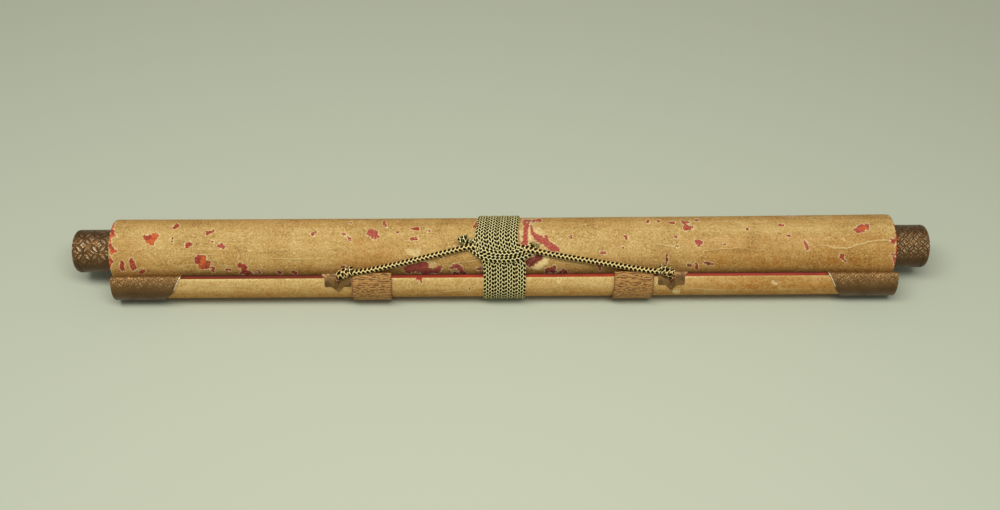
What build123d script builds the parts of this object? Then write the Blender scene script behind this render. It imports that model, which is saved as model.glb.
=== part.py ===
from build123d import *
import math
import os

# A rolled hanging scroll, tied up and lying on a table. The sheet is wound on a round rod, and its
# outer end runs flat along the table to a pocket round a half-round stave, which lies along the front
# of the roll. A braided cord hangs between two eyes on the stave, and a flat cord is wound four times
# round roll and stave. X runs along the scroll, the stave is on the -Y side, Z is up, and the origin is
# on the table under the middle of the whole part's box. Sections are drawn with the roll's axis at
# (0, 0) of the YZ plane and moved at the end.

# Sheet and roll, mm
roll_radius = 22.0
roll_length = 545.2
roll_shift = 1.2
sheet_thickness = 0.6
roll_flat_sink = 0.15
turn_gap = 0.12
turn_gap_depth = 2.0
pinch_height = 0.25

# Rod and knobs
rod_radius = 11.0
knob_radius = 15.1
knob_wall = 1.0
knob_left_reach = 28.6
knob_right_reach = 26.2
knob_edge_radius = 2.8
knob_rim_from_end = 4.2
knob_rim_width = 0.8
knob_rim_depth = 0.3

# Stave, the pocket round it and its place against the roll. Its left end is level with the roll's and its
# right end stands out
stave_right_overhang = 2.2
pocket_radius = 13.4
pocket_depth = 12.3
pocket_tilt = 21.0
pocket_gap = 0.2
pocket_wall = 0.6
facing_start_angle = 80.0
facing_end_angle = 126.5
backing_step = 0.25

# Stave caps. The inner edge is given as seen square to the view angle: its length from the cap's end,
# then its distance below the roll's axis, at the corner, where the slant turns into the curve, on the
# curve and at its end
view_angle = 127.0
cap_proud = 1.2
cap_end_wall = 1.2
cap_edge_radius = 0.5
cap_corner_radius = 2.2
left_cap_edge = [(49.8, 17.0), (44.4, 27.6), (40.0, 31.6), (31.0, 35.4)]
right_cap_edge = [(49.4, 17.0), (44.8, 26.0), (41.4, 30.9), (35.5, 35.4)]

# Hanging strips
strip_thickness = 1.2
strip_leg_thickness = 1.0
strip_width = 27.2
strip_left_x = -89.6
strip_right_x = 92.3
strip_leg = 4.4
strip_end_angle = 268.0

# Eye plates and eyes
plate_thickness = 0.5
plate_half_width = 9.3
plate_flare = 2.0
plate_flare_angle = 125.0
plate_shoulder_angle = 152.0
plate_tip_angle = 171.0
plate_notch_half_width = 4.2
plate_corner_radius = 1.2
plate_leg = 3.0
eye_left_x = -113.3
eye_right_x = 118.4
eye_angle = 132.5
eye_ring_radius = 2.8
eye_wire_radius = 0.8
eye_height = 3.5
eye_shank_radius = 0.9
eye_shank_depth = 8.0

# Hanging cord: its tube, the tube's clearance off the roll, and the flat stretch under the turns, which
# is given by how far its middle line's two ends lie below the roll's axis, seen square to the view angle
hanging_radius = 1.9
hanging_clearance = 0.45
flat_thickness = 2.2
flat_width = 5.6
flat_clearance = 0.1
flat_reach = 19.0
flat_left_drop = -2.1
flat_right_drop = 0.6

# Each point is its place along X, its direction round the roll in degrees from +Y towards +Z, and how
# far it stands further out than the seat on the roll, where the cord rides over a strip to the knot
left_run = [
    (-105.0, 164.6, 3.1), (-94.1, 163.4, 1.7), (-82.3, 158.9, 0.3), (-68.4, 151.2, 0.0), (-54.8, 142.9, 0.0),
    (-41.6, 135.2, 0.0), (-30.9, 129.0, 0.0), (-21.9, 123.5, 0.0), (-15.4, 119.8, 0.0)]
right_run = [
    (15.3, 126.4, 0.0), (22.9, 130.7, 0.0), (30.4, 134.9, 0.0), (40.8, 140.0, 0.0), (53.6, 145.4, 0.0),
    (67.8, 151.4, 0.0), (82.4, 157.9, 0.3), (96.2, 162.9, 1.7), (110.0, 165.4, 3.1)]

# End knots
knot_back = 5.0
knot_angle = 163.0
knot_off_roll = 5.5
knot_half_length = 4.6
knot_radius = 4.0
tie_loop_radius = 3.3
tie_cord_radius = 1.35

# Wrap cord
wrap_thickness = 1.5
wrap_turns = 4
wrap_turn_width = 7.35
wrap_edge = 0.45
wrap_centre_x = 0.0
hump_angle = 125.0
hump_half_angle = 10.5
hump_clearance = 0.15

# Doubled loop over the turns, as seen square to the view angle: X, then distance below the roll's axis
loop_clearance = 0.1
loop_outline = [(-23.5, 2.4), (-17.5, 2.0), (-14.0, 0.9), (0.0, 1.4), (8.0, 2.0), (13.6, 2.7), (15.0, 4.2),
                (20.0, 4.6), (24.0, 5.6), (20.5, 6.9), (16.4, 8.6), (12.0, 9.7), (3.6, 10.1), (-4.7, 9.7),
                (-10.6, 8.7), (-14.0, 7.4)]

# Knot that ties the wrap cord to the hanging cord
wrap_knot_x = -25.6
wrap_knot_angle = 113.0
wrap_knot_off_roll = 3.2
wrap_knot_radius = 4.6
wrap_knot_depth = 6.0

# Places worked out from the sizes, from the roll's axis
base_z = roll_flat_sink - roll_radius
table_z = base_z - wrap_thickness
tilt = math.radians(pocket_tilt)
normal = (-math.cos(tilt), -math.sin(tilt))
along = (-math.sin(tilt), math.cos(tilt))
chord_inset = pocket_radius - pocket_depth
half_chord = math.sqrt(pocket_radius**2 - chord_inset**2)
flat_distance = roll_radius - (1 - normal[1]) * sheet_thickness / 2 + pocket_gap
pocket_z = base_z + pocket_radius
pocket_y = -(flat_distance - chord_inset - normal[1] * pocket_z) / math.cos(tilt)
pocket_centre = (pocket_y, pocket_z)
corner_along = pocket_y * along[0] + pocket_z * along[1] + half_chord
roll_left_x = roll_shift - roll_length / 2
roll_right_x = roll_shift + roll_length / 2
stave_left_x = roll_left_x
stave_right_x = roll_right_x + stave_right_overhang
far = 4 * roll_radius


# Section point at a distance along the stave's outward normal and up its flat side
def flat_point(off, up):
    return (normal[0] * off + along[0] * up, normal[1] * off + along[1] * up)


# Section point at an angle in degrees and a distance from a centre
def polar(angle, radius, centre=(0.0, 0.0)):
    turn = math.radians(angle)
    return (centre[0] + radius * math.cos(turn), centre[1] + radius * math.sin(turn))


# Point in space from a place along X and a point of the section
def at_x(x, point):
    return Vector(x, point[0], point[1])


# Solid between two places along X with the given section
def along_x(section, x_start, x_end):
    return extrude(Plane.YZ.offset(x_start) * section, amount=x_end - x_start)


def disc(centre, radius):
    return Pos(centre[0], centre[1]) * Circle(radius)


def polygon(points):
    return make_face(Polyline(*points, close=True))


# Band of the section that is square to the stave's flat side
def flat_box(off_low, off_high, up_low, up_high):
    corners = [(off_low, up_low), (off_high, up_low), (off_high, up_high), (off_low, up_high)]
    return polygon([flat_point(off, up) for off, up in corners])


# Half-round section of the stave, with its arc grown and its flat side moved towards the roll
def half_round(arc_growth, flat_growth):
    keep = flat_box(flat_distance - flat_growth, flat_distance + far, -far, far)
    return disc(pocket_centre, pocket_radius + arc_growth) & keep


# Wedge of the section about the centre of the stave's arc
def stave_wedge(angle_from, angle_to):
    step = (angle_to - angle_from) / 4
    return polygon([pocket_centre] + [polar(angle_from + step * i, far, pocket_centre) for i in range(5)])


# Plane through the roll's axis that faces a direction round the roll, with its second axis pointing up
def facing_plane(angle, centre=(0.0, 0.0)):
    turn = math.radians(angle)
    return Plane(origin=at_x(0, centre), x_dir=(1, 0, 0), z_dir=(0, math.cos(turn), math.sin(turn)))


# Column that stands on that plane, from an outline
def facing_column(face, angle, centre=(0.0, 0.0), both=False):
    return extrude(facing_plane(angle, centre) * face, amount=far, both=both)


# Half of the roll's section, on the +Y side or the -Y side
def half_disc(radius, centre_z, side):
    top = (0.0, centre_z + radius)
    bottom = (0.0, centre_z - radius)
    return make_face([ThreePointArc(top, (side * radius, centre_z), bottom), Line(bottom, top)])


# The sheet is wound in half turns, whose centres alternate by half a thickness
def wound_half(half_turns_in, growth=0.0):
    side = 1 if half_turns_in % 2 == 0 else -1
    radius = roll_radius - half_turns_in * sheet_thickness / 2 + growth
    return half_disc(radius, (half_turns_in % 2) * sheet_thickness / 2, side)


# Spiral band of the section that stands open between the turns at the roll's ends
def turn_gap_section():
    half_turns = int((roll_radius - rod_radius - sheet_thickness) / (sheet_thickness / 2))
    band = Sketch()
    for i in range(2, half_turns):
        band += wound_half(i, turn_gap / 2) - wound_half(i, -turn_gap / 2)
    return band


# The roll, the run under it and the pocket round the stave are one sheet
def make_rolled_sheet():
    above_base = Pos(0, base_z + far / 2) * Rectangle(2 * far, far)
    roll = ((wound_half(0) + wound_half(1)) & above_base) - disc((0, 0), rod_radius)
    run_top = base_z + sheet_thickness
    run = polygon([(pocket_y, base_z), (0, base_z), (0, run_top), (pocket_y, run_top)])
    pinch_y = -math.sqrt(2 * roll_radius * pinch_height)
    pinch = polygon([(pinch_y, base_z), (0, base_z), (0, run_top + sheet_thickness),
                     (pinch_y, run_top + pinch_height)])
    stave = half_round(-pocket_wall, -pocket_wall)
    facing = stave_wedge(facing_start_angle, facing_end_angle)
    facing -= disc(pocket_centre, pocket_radius - backing_step)
    section = roll + (run + pinch - stave) + (half_round(0, 0) - stave - facing)
    sheet = along_x(section, roll_left_x, roll_right_x)
    gap = turn_gap_section()
    for x_start in (roll_left_x, roll_right_x - turn_gap_depth):
        sheet -= along_x(gap, x_start, x_start + turn_gap_depth)
    return sheet


# Wooden rod with a head inside each knob
def make_roller_rod():
    left_end = roll_left_x - knob_left_reach + knob_wall
    right_end = roll_right_x + knob_right_reach - knob_wall
    head = disc((0, 0), knob_radius - knob_wall)
    rod = along_x(disc((0, 0), rod_radius), left_end, right_end)
    return rod + along_x(head, left_end, roll_left_x) + along_x(head, roll_right_x, right_end)


# Metal cup over the rod's head, turned about X, with a rounded edge and a rim line near its end
def make_knob(base_x, reach, side):
    def profile_point(from_base, radius):
        return (base_x + side * from_base, radius)

    rim_end = reach - knob_rim_from_end
    rim_start = rim_end - knob_rim_width
    rim_floor = knob_radius - knob_rim_depth
    round_middle = knob_edge_radius * (1 - math.sqrt(0.5))
    outline = [
        Polyline(
            profile_point(reach - knob_wall, 0), profile_point(reach - knob_wall, knob_radius - knob_wall),
            profile_point(0, knob_radius - knob_wall), profile_point(0, knob_radius),
            profile_point(rim_start, knob_radius), profile_point(rim_start, rim_floor),
            profile_point(rim_end, rim_floor), profile_point(rim_end, knob_radius),
            profile_point(reach - knob_edge_radius, knob_radius)),
        ThreePointArc(
            profile_point(reach - knob_edge_radius, knob_radius),
            profile_point(reach - round_middle, knob_radius - round_middle),
            profile_point(reach, knob_radius - knob_edge_radius)),
        Polyline(
            profile_point(reach, knob_radius - knob_edge_radius), profile_point(reach, 0),
            profile_point(reach - knob_wall, 0)),
    ]
    return revolve(make_face(outline), Axis.X)


# Eye at a place along X: a ring across the stave on a shank that is driven into it
def eye_centre():
    return polar(eye_angle, pocket_radius + plate_thickness + eye_height, pocket_centre)


def make_shank(x, radius):
    turn = math.radians(eye_angle)
    foot = Plane(origin=at_x(x, polar(eye_angle, pocket_radius - eye_shank_depth, pocket_centre)),
                 z_dir=(0, math.cos(turn), math.sin(turn)))
    length = eye_shank_depth + plate_thickness + eye_height - eye_ring_radius
    return extrude(foot * Circle(radius), amount=length)


def make_eye(x):
    ring = Location(at_x(x, eye_centre())) * Rot(0, 90, 0) * Torus(eye_ring_radius, eye_wire_radius)
    return ring + make_shank(x, eye_shank_radius)


def make_top_stave():
    section = half_round(-pocket_wall, -pocket_wall)
    return along_x(section, stave_left_x + cap_end_wall, stave_right_x - cap_end_wall)


# Sleeve over one end of the stave. Its flat side is let in level with the sheet's
def make_cap_sleeve(end_x, side, edge):
    corner, bend, middle, last = [(end_x + side * length, -drop) for length, drop in edge]
    outline = [
        Polyline((end_x, far), (corner[0], far), corner, bend),
        ThreePointArc(bend, middle, last),
        Polyline(last, (last[0], -far), (end_x, -far), (end_x, far)),
    ]
    reach = max(length for length, drop in edge)
    shell = along_x(half_round(cap_proud, 0), end_x, end_x + side * reach)
    wood = half_round(-pocket_wall, -pocket_wall)
    shell -= along_x(wood, end_x + side * cap_end_wall, end_x + side * (reach + 1))
    return shell & facing_column(make_face(outline), view_angle, both=True)


# Metal cap: the sleeve with a rounded corner beside the roll and a rounded rim at its end
def make_stave_cap(end_x, side, edge):
    cap = make_cap_sleeve(end_x, side, edge)
    corner = cap.edges().filter_by(Axis.X).sort_by(Axis.Z)[-1]
    cap = fillet(corner, cap_corner_radius)
    end_face = cap.faces().sort_by(Axis.X)[0 if side > 0 else -1]
    return fillet(end_face.outer_wire().edges(), cap_edge_radius)


# Woven strip round the stave, folded over the corner on to the flat side and ending under the stave
def make_hanging_strip(centre_x):
    section = half_round(strip_thickness, strip_leg_thickness) - half_round(0, 0)
    section -= flat_box(-far, flat_distance, -far, corner_along - strip_leg)
    section -= stave_wedge(strip_end_angle, strip_end_angle + 60)
    return along_x(section, centre_x - strip_width / 2, centre_x + strip_width / 2)


# Thin lobed plate over the stave's corner, with a point down the round side
def make_eye_plate(x):
    middle = (eye_angle + plate_shoulder_angle) / 2

    def drop(angle):
        return (pocket_radius + plate_thickness) * math.sin(math.radians(middle - angle))

    shoulder = drop(plate_shoulder_angle)
    flare = plate_half_width + plate_flare
    side_top = drop(plate_flare_angle)
    half = [(flare, far / 4), (flare, side_top + plate_flare), (plate_half_width, side_top),
            (plate_half_width, shoulder), (plate_notch_half_width, shoulder)]
    outline = polygon(half + [(0, drop(plate_tip_angle))] + [(-px, py) for px, py in reversed(half)])
    lobes = outline.vertices().filter_by_position(Axis.Y, shoulder - 0.01, shoulder + 0.01)
    outline = Pos(x, 0) * fillet(lobes, plate_corner_radius)
    section = half_round(plate_thickness, plate_thickness) - half_round(0, 0)
    section -= flat_box(-far, flat_distance, -far, corner_along - plate_leg)
    section -= stave_wedge(plate_tip_angle + 5, plate_tip_angle + 125)
    plate = along_x(section, x - flare, x + flare)
    return plate & facing_column(outline, middle, pocket_centre, both=True)


# Radii for a tube's bends: 0.45 of the shorter run at a corner, over the tangent of half its turn
def bend_radii(points):
    radii = []
    for before, corner, after in zip(points, points[1:], points[2:]):
        turn = math.radians((corner - before).get_angle(after - corner))
        radii.append(0.45 * min((corner - before).length, (after - corner).length) / math.tan(turn / 2))
    return radii


def make_run(points):
    seat = roll_radius + hanging_radius + hanging_clearance
    route = [at_x(x, polar(angle, seat + lift)) for x, angle, lift in points]
    radii = bend_radii(route)
    print("bend radii", [round(radius) for radius in radii])
    path = FilletPolyline(*route, radius=radii)
    tube = sweep(Plane(origin=path @ 0, z_dir=path % 0) * Circle(hanging_radius), path=path)
    print("tube length", round(path.length, 1), "volume over section times length",
          round(tube.volume / (math.pi * hanging_radius**2 * path.length), 4))
    return tube


# Cord from knot to knot: two round runs and the stretch that the turns press flat
def make_hanging_cord():
    inner_radius = roll_radius + flat_clearance
    shell = disc((0, 0), inner_radius + flat_thickness) - disc((0, 0), inner_radius)
    half = flat_width / 2
    outline = polygon([
        (-flat_reach, -flat_left_drop - half), (flat_reach, -flat_right_drop - half),
        (flat_reach, -flat_right_drop + half), (-flat_reach, -flat_left_drop + half)])
    flat = along_x(shell, -flat_reach, flat_reach) & facing_column(outline, view_angle)
    return make_run(left_run) + flat + make_run(right_run)


# Knot beside an eye, with the loop of cord that goes through the eye
def make_end_knot(eye_x, side):
    centre = polar(knot_angle, roll_radius + knot_off_roll)
    middle = Location(at_x(eye_x + side * knot_back, centre))
    straight = knot_half_length - knot_radius
    bead = middle * Rot(0, 90, 0) * Cylinder(knot_radius, 2 * straight)
    bead += middle * Pos(straight, 0, 0) * Sphere(knot_radius)
    bead += middle * Pos(-straight, 0, 0) * Sphere(knot_radius)
    eye = Vector(*eye_centre())
    towards = (Vector(*centre) - eye).normalized()
    loop_middle = eye + towards * tie_loop_radius
    loop_plane = Plane(origin=at_x(eye_x, (loop_middle.X, loop_middle.Y)), x_dir=(1, 0, 0),
                       z_dir=(0, -towards.Y, towards.X))
    return bead + loop_plane.location * Torus(tie_loop_radius, tie_cord_radius)


# Closed outline of a cord pulled tight round the roll, over the hanging cord, and round the stave
def taut_outline():
    hump_radius = roll_radius + flat_clearance + flat_thickness + hump_clearance
    hump_start = hump_angle - hump_half_angle
    hump_end = hump_angle + hump_half_angle
    leave_roll = hump_start - math.degrees(math.acos(roll_radius / hump_radius))
    from_centre = Vector(*polar(hump_end, hump_radius)) - Vector(*pocket_centre)
    facing = math.degrees(math.atan2(from_centre.Y, from_centre.X))
    meet_stave = facing + math.degrees(math.acos(pocket_radius / from_centre.length))
    flat_end = (math.sqrt(roll_radius**2 - base_z**2), base_z)
    start_angle = math.degrees(math.atan2(flat_end[1], flat_end[0]))
    stave_low = (pocket_y, base_z)
    roll_middle = polar((start_angle + leave_roll) / 2, roll_radius)
    roll_end = polar(leave_roll, roll_radius)
    hump_first = polar(hump_start, hump_radius)
    hump_last = polar(hump_end, hump_radius)
    stave_first = polar(meet_stave, pocket_radius, pocket_centre)
    stave_middle = polar((meet_stave + 270) / 2, pocket_radius, pocket_centre)
    return make_face([
        Line(stave_low, flat_end),
        ThreePointArc(flat_end, roll_middle, roll_end),
        Line(roll_end, hump_first),
        ThreePointArc(hump_first, polar(hump_angle, hump_radius), hump_last),
        Line(hump_last, stave_first),
        ThreePointArc(stave_first, stave_middle, stave_low)])


# Four flat turns side by side
def make_wrap_cord():
    inside = taut_outline()
    ring = offset(inside, wrap_thickness) - inside
    half = wrap_turns * wrap_turn_width / 2
    turns = []
    for i in range(wrap_turns):
        start = wrap_centre_x - half + i * wrap_turn_width
        turn = along_x(ring, start, start + wrap_turn_width)
        rims = [face.outer_wire().edges() for face in turn.faces().filter_by(Axis.X)]
        turns.append(chamfer([edge for rim in rims for edge in rim], wrap_edge))
    cord = turns[0]
    for turn in turns[1:]:
        cord += turn
    return cord


# Doubled end of the wrap cord: over the turns, down their sides and on to the roll
def make_wrap_cord_loop():
    inside = taut_outline()
    over = offset(inside, 2 * wrap_thickness)
    half = wrap_turns * wrap_turn_width / 2
    left_side = wrap_centre_x - half
    right_side = wrap_centre_x + half
    foot = disc((0, 0), roll_radius + loop_clearance)
    low = disc((0, 0), roll_radius + loop_clearance + wrap_thickness) - foot
    step = over - foot
    loop = along_x(over - offset(inside, wrap_thickness), left_side, right_side)
    loop += along_x(step, left_side - wrap_thickness, left_side)
    loop += along_x(step, right_side, right_side + wrap_thickness)
    loop += along_x(low, left_side - far / 4, left_side - wrap_thickness)
    loop += along_x(low, right_side + wrap_thickness, right_side + far / 4)
    outline = polygon([(x, -drop) for x, drop in loop_outline])
    return loop & facing_column(outline, view_angle)


# Pressed round knot that lies flat on the roll
def make_wrap_cord_knot():
    rim = wrap_knot_depth / 2
    flat = wrap_knot_radius - rim
    half = make_face([
        Polyline((rim, flat), (rim, 0), (-rim, 0), (-rim, flat)),
        ThreePointArc((-rim, flat), (0, wrap_knot_radius), (rim, flat))])
    turn = math.radians(wrap_knot_angle)
    place = Plane(origin=at_x(wrap_knot_x, polar(wrap_knot_angle, roll_radius + wrap_knot_off_roll)),
                  x_dir=(0, math.cos(turn), math.sin(turn)), z_dir=(-1, 0, 0))
    return place.location * revolve(half, Axis.X)


def make_parts():
    parts = {
        "rolled_sheet": make_rolled_sheet(),
        "roller_rod": make_roller_rod(),
        "left_roller_knob": make_knob(roll_left_x, knob_left_reach, -1),
        "right_roller_knob": make_knob(roll_right_x, knob_right_reach, 1),
        "top_stave": make_top_stave(),
        "left_stave_cap": make_stave_cap(stave_left_x, 1, left_cap_edge),
        "right_stave_cap": make_stave_cap(stave_right_x, -1, right_cap_edge),
        "left_hanging_strip": make_hanging_strip(strip_left_x),
        "right_hanging_strip": make_hanging_strip(strip_right_x),
        "hanging_cord": make_hanging_cord(),
        "wrap_cord": make_wrap_cord(),
        "wrap_cord_loop": make_wrap_cord_loop(),
        "wrap_cord_knot": make_wrap_cord_knot(),
    }
    parts["rolled_sheet"] -= make_cap_sleeve(stave_left_x, 1, left_cap_edge)
    parts["rolled_sheet"] -= make_cap_sleeve(stave_right_x, -1, right_cap_edge)
    parts["wrap_cord_knot"] -= parts["hanging_cord"]
    for hand, eye_x, side in (("left", eye_left_x, 1), ("right", eye_right_x, -1)):
        shank = make_shank(eye_x, eye_shank_radius)
        parts[f"{hand}_cord_eye"] = make_eye(eye_x)
        parts[f"{hand}_eye_plate"] = make_eye_plate(eye_x) - shank
        parts[f"{hand}_end_knot"] = make_end_knot(eye_x, side)
        parts["rolled_sheet"] -= shank
        parts["top_stave"] -= shank
        parts["hanging_cord"] -= parts[f"{hand}_end_knot"]
    parts["left_eye_plate"] -= parts["left_hanging_strip"]
    return parts


parts = make_parts()
box = Compound(children=[Compound(part.solids()) for part in parts.values()]).bounding_box()
place = Pos(-box.center().X, -box.center().Y, -table_z)
os.makedirs("parts", exist_ok=True)
for name, part in parts.items():
    placed = place * part
    print(name, len(placed.solids()), "solid,", round(placed.volume), "mm3")
    export_step(placed, f"parts/{name}.step")
print("roll axis at x", round(-box.center().X, 3), "y", round(-box.center().Y, 3), "z", round(-table_z, 3))
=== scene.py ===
import bpy
import bmesh
import math
import numpy as np
from mathutils import Vector, Matrix, noise


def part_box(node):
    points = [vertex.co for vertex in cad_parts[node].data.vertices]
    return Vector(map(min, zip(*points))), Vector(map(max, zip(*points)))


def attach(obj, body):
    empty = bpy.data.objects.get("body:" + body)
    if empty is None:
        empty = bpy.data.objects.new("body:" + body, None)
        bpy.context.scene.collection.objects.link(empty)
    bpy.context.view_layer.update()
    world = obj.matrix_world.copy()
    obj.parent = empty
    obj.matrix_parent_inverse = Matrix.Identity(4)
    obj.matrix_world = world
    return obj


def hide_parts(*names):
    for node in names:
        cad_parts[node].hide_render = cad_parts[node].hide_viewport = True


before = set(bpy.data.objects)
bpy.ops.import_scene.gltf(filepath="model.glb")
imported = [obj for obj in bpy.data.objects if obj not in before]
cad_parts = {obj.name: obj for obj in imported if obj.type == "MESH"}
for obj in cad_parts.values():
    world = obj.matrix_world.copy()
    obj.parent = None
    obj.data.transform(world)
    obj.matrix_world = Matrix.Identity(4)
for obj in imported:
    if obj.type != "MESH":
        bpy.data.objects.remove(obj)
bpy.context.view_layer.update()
noise.seed_set(1)
print("frame loaded")

mm = 0.001
rodLow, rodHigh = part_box("roller_rod")
axisY = (rodLow.y + rodHigh.y) / 2
axisZ = (rodLow.z + rodHigh.z) / 2


# Point from millimetres along the scroll, forward-back and up, measured from the roll's axis
def fromAxis(x, y, z):
    return Vector((x * mm, axisY + y * mm, axisZ + z * mm))


def polar(angle, radius, centre=(0.0, 0.0)):
    turn = math.radians(angle)
    return centre[0] + radius * math.cos(turn), centre[1] + radius * math.sin(turn)


# Camera: it looks down on the roll from the stave's side
camera = {
    "elevation": 53.0,       # degrees above the table
    "distance": 838.0,       # mm from the roll's axis along the view
    "lens": 42.5,
    "sensor": 36,
    "turn": 0.354,           # degrees, the left end hangs a little lower in the picture
    "aimX": -0.6,
    "aimBelowAxis": 4.6,
    "pictureWidth": 1000,
    "pictureHeight": 510,
}
viewRise = math.radians(camera["elevation"])
towardsCamera = Vector((0, -math.cos(viewRise), math.sin(viewRise)))
focalPixels = camera["lens"] / camera["sensor"] * camera["pictureWidth"]


def placeCamera():
    up = Vector((0, math.sin(viewRise), math.cos(viewRise)))
    aim = fromAxis(camera["aimX"], 0, 0) - up * camera["aimBelowAxis"] * mm
    turn = math.radians(camera["turn"])
    right = Vector((1, 0, 0)) * math.cos(turn) - up * math.sin(turn)
    top = towardsCamera.cross(right)
    data = bpy.data.cameras.new("photoCamera")
    data.lens = camera["lens"]
    data.sensor_width = camera["sensor"]
    data.clip_start = 0.01
    shot = bpy.data.objects.new("photoCamera", data)
    turned = Matrix((right, top, towardsCamera)).transposed().to_4x4()
    shot.matrix_world = Matrix.Translation(aim + towardsCamera * camera["distance"] * mm) @ turned
    bpy.context.scene.collection.objects.link(shot)
    bpy.context.scene.camera = shot
    return shot


# Pixels of the picture at which points of the object appear
def pixelsOf(points):
    away = np.array(shot.matrix_world.inverted())
    seen = points @ away[:3, :3].T + away[:3, 3]
    x = camera["pictureWidth"] / 2 + focalPixels * seen[:, 0] / -seen[:, 2]
    y = camera["pictureHeight"] / 2 - focalPixels * seen[:, 1] / -seen[:, 2]
    return np.stack([x, y], axis=1)


# Point of a round surface about the roll's axis that the camera sees at a pixel
def pointUnder(x, y, radius):
    towards = Vector(((x - camera["pictureWidth"] / 2) / focalPixels,
                      (camera["pictureHeight"] / 2 - y) / focalPixels, -1))
    ray = shot.matrix_world.to_3x3() @ towards
    start = shot.matrix_world.translation
    startY, startZ = start.y - axisY, start.z - axisZ
    a = ray.y ** 2 + ray.z ** 2
    b = 2 * (startY * ray.y + startZ * ray.z)
    c = startY ** 2 + startZ ** 2 - (radius * mm) ** 2
    share = (-b - math.sqrt(max(0.0, b * b - 4 * a * c))) / 2 / a
    return start + ray * share


# Node helpers. An input is a value or the socket that feeds it
def addNode(tree, kind, inputs=None, **settings):
    made = tree.nodes.new(kind)
    for name, value in settings.items():
        setattr(made, name, value)
    for socket, value in (inputs or {}).items():
        if isinstance(value, bpy.types.NodeSocket):
            tree.links.new(value, made.inputs[socket])
        else:
            made.inputs[socket].default_value = value
    return made


def mathNode(tree, operation, a, b=0.0, c=0.0):
    return addNode(tree, "ShaderNodeMath", {0: a, 1: b, 2: c}, operation=operation).outputs[0]


def times(tree, a, b):
    return mathNode(tree, "MULTIPLY", a, b)


def minus(tree, a, b):
    return mathNode(tree, "SUBTRACT", a, b)


def timesPlus(tree, a, b, c):
    return mathNode(tree, "MULTIPLY_ADD", a, b, c)


def vectorNode(tree, operation, a, b=(0, 0, 0)):
    return addNode(tree, "ShaderNodeVectorMath", {0: a, 1: b}, operation=operation).outputs


def scaled(tree, vector, scale):
    return addNode(tree, "ShaderNodeVectorMath", {0: vector, "Scale": scale}, operation="SCALE").outputs[0]


def stretched(tree, vector, scale):
    return addNode(tree, "ShaderNodeMapping", {"Vector": vector, "Scale": scale}).outputs[0]


def axes(tree, vector):
    return addNode(tree, "ShaderNodeSeparateXYZ", {0: vector}).outputs


def mixColour(tree, factor, a, b, blend="MIX"):
    made = addNode(tree, "ShaderNodeMix", {"Factor": factor, 6: a, 7: b}, data_type="RGBA", blend_type=blend)
    return made.outputs[2]


def remap(tree, value, low, high, toLow=0.0, toHigh=1.0):
    inputs = {"Value": value, "From Min": low, "From Max": high, "To Min": toLow, "To Max": toHigh}
    return addNode(tree, "ShaderNodeMapRange", inputs, interpolation_type="SMOOTHSTEP").outputs["Result"]


def noiseNode(tree, vector, scale, detail=4.0, roughness=0.55, distortion=0.0):
    inputs = {"Vector": vector, "Scale": scale, "Detail": detail, "Roughness": roughness, "Distortion": distortion}
    return addNode(tree, "ShaderNodeTexNoise", inputs).outputs["Fac"]


def objectPlace(tree):
    return addNode(tree, "ShaderNodeTexCoord").outputs["Object"]


def attribute(tree, name, output="Fac"):
    return addNode(tree, "ShaderNodeAttribute", attribute_name=name).outputs[output]


# New node group. An input without a value is a vector, the others are numbers
def newGroup(name, takes, gives, givesKind="NodeSocketFloat"):
    tree = bpy.data.node_groups.new(name, "ShaderNodeTree")
    for socket, value in takes.items():
        kind = "NodeSocketVector" if value is None else "NodeSocketFloat"
        made = tree.interface.new_socket(socket, in_out="INPUT", socket_type=kind)
        if value is not None:
            made.default_value = value
    for socket in gives:
        tree.interface.new_socket(socket, in_out="OUTPUT", socket_type=givesKind)
    return tree, tree.nodes.new("NodeGroupInput").outputs, tree.nodes.new("NodeGroupOutput").inputs


def useGroup(tree, group, inputs):
    return addNode(tree, "ShaderNodeGroup", inputs, node_tree=group).outputs


def newMaterial(name, roughness, specular=0.5, metallic=0.0):
    surface = bpy.data.materials.new(name)
    surface.use_nodes = True
    shader = surface.node_tree.nodes["Principled BSDF"]
    for socket, value in (("Roughness", roughness), ("Metallic", metallic), ("Specular IOR Level", specular)):
        shader.inputs[socket].default_value = value
    return surface, surface.node_tree


# Links a material's colour, its relief over a depth in metres, and its roughness where that varies
def finishMaterial(surface, colour, height, depth, strength, roughness=None):
    tree = surface.node_tree
    shader = tree.nodes["Principled BSDF"]
    tree.links.new(colour, shader.inputs["Base Color"])
    if roughness is not None:
        tree.links.new(roughness, shader.inputs["Roughness"])
    bump = addNode(tree, "ShaderNodeBump", {"Height": height, "Distance": depth, "Strength": strength})
    tree.links.new(bump.outputs["Normal"], shader.inputs["Normal"])
    return surface


# Table and light
studio = {
    "tableSize": 6.0,
    "tableColour": (0.500, 0.530, 0.395),
    "shadeReach": 0.42,      # painted light and shade: the table is a little lighter this far in front and darker this far behind
    "nearShade": 1.13,
    "farShade": 0.95,
    "skyStrength": 0.26,
    "lampPower": 11.6,
    "lampLength": 1.3,
    "lampWidth": 0.36,
    "lampAt": (-0.06, -0.25, 1.08),
}


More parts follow.
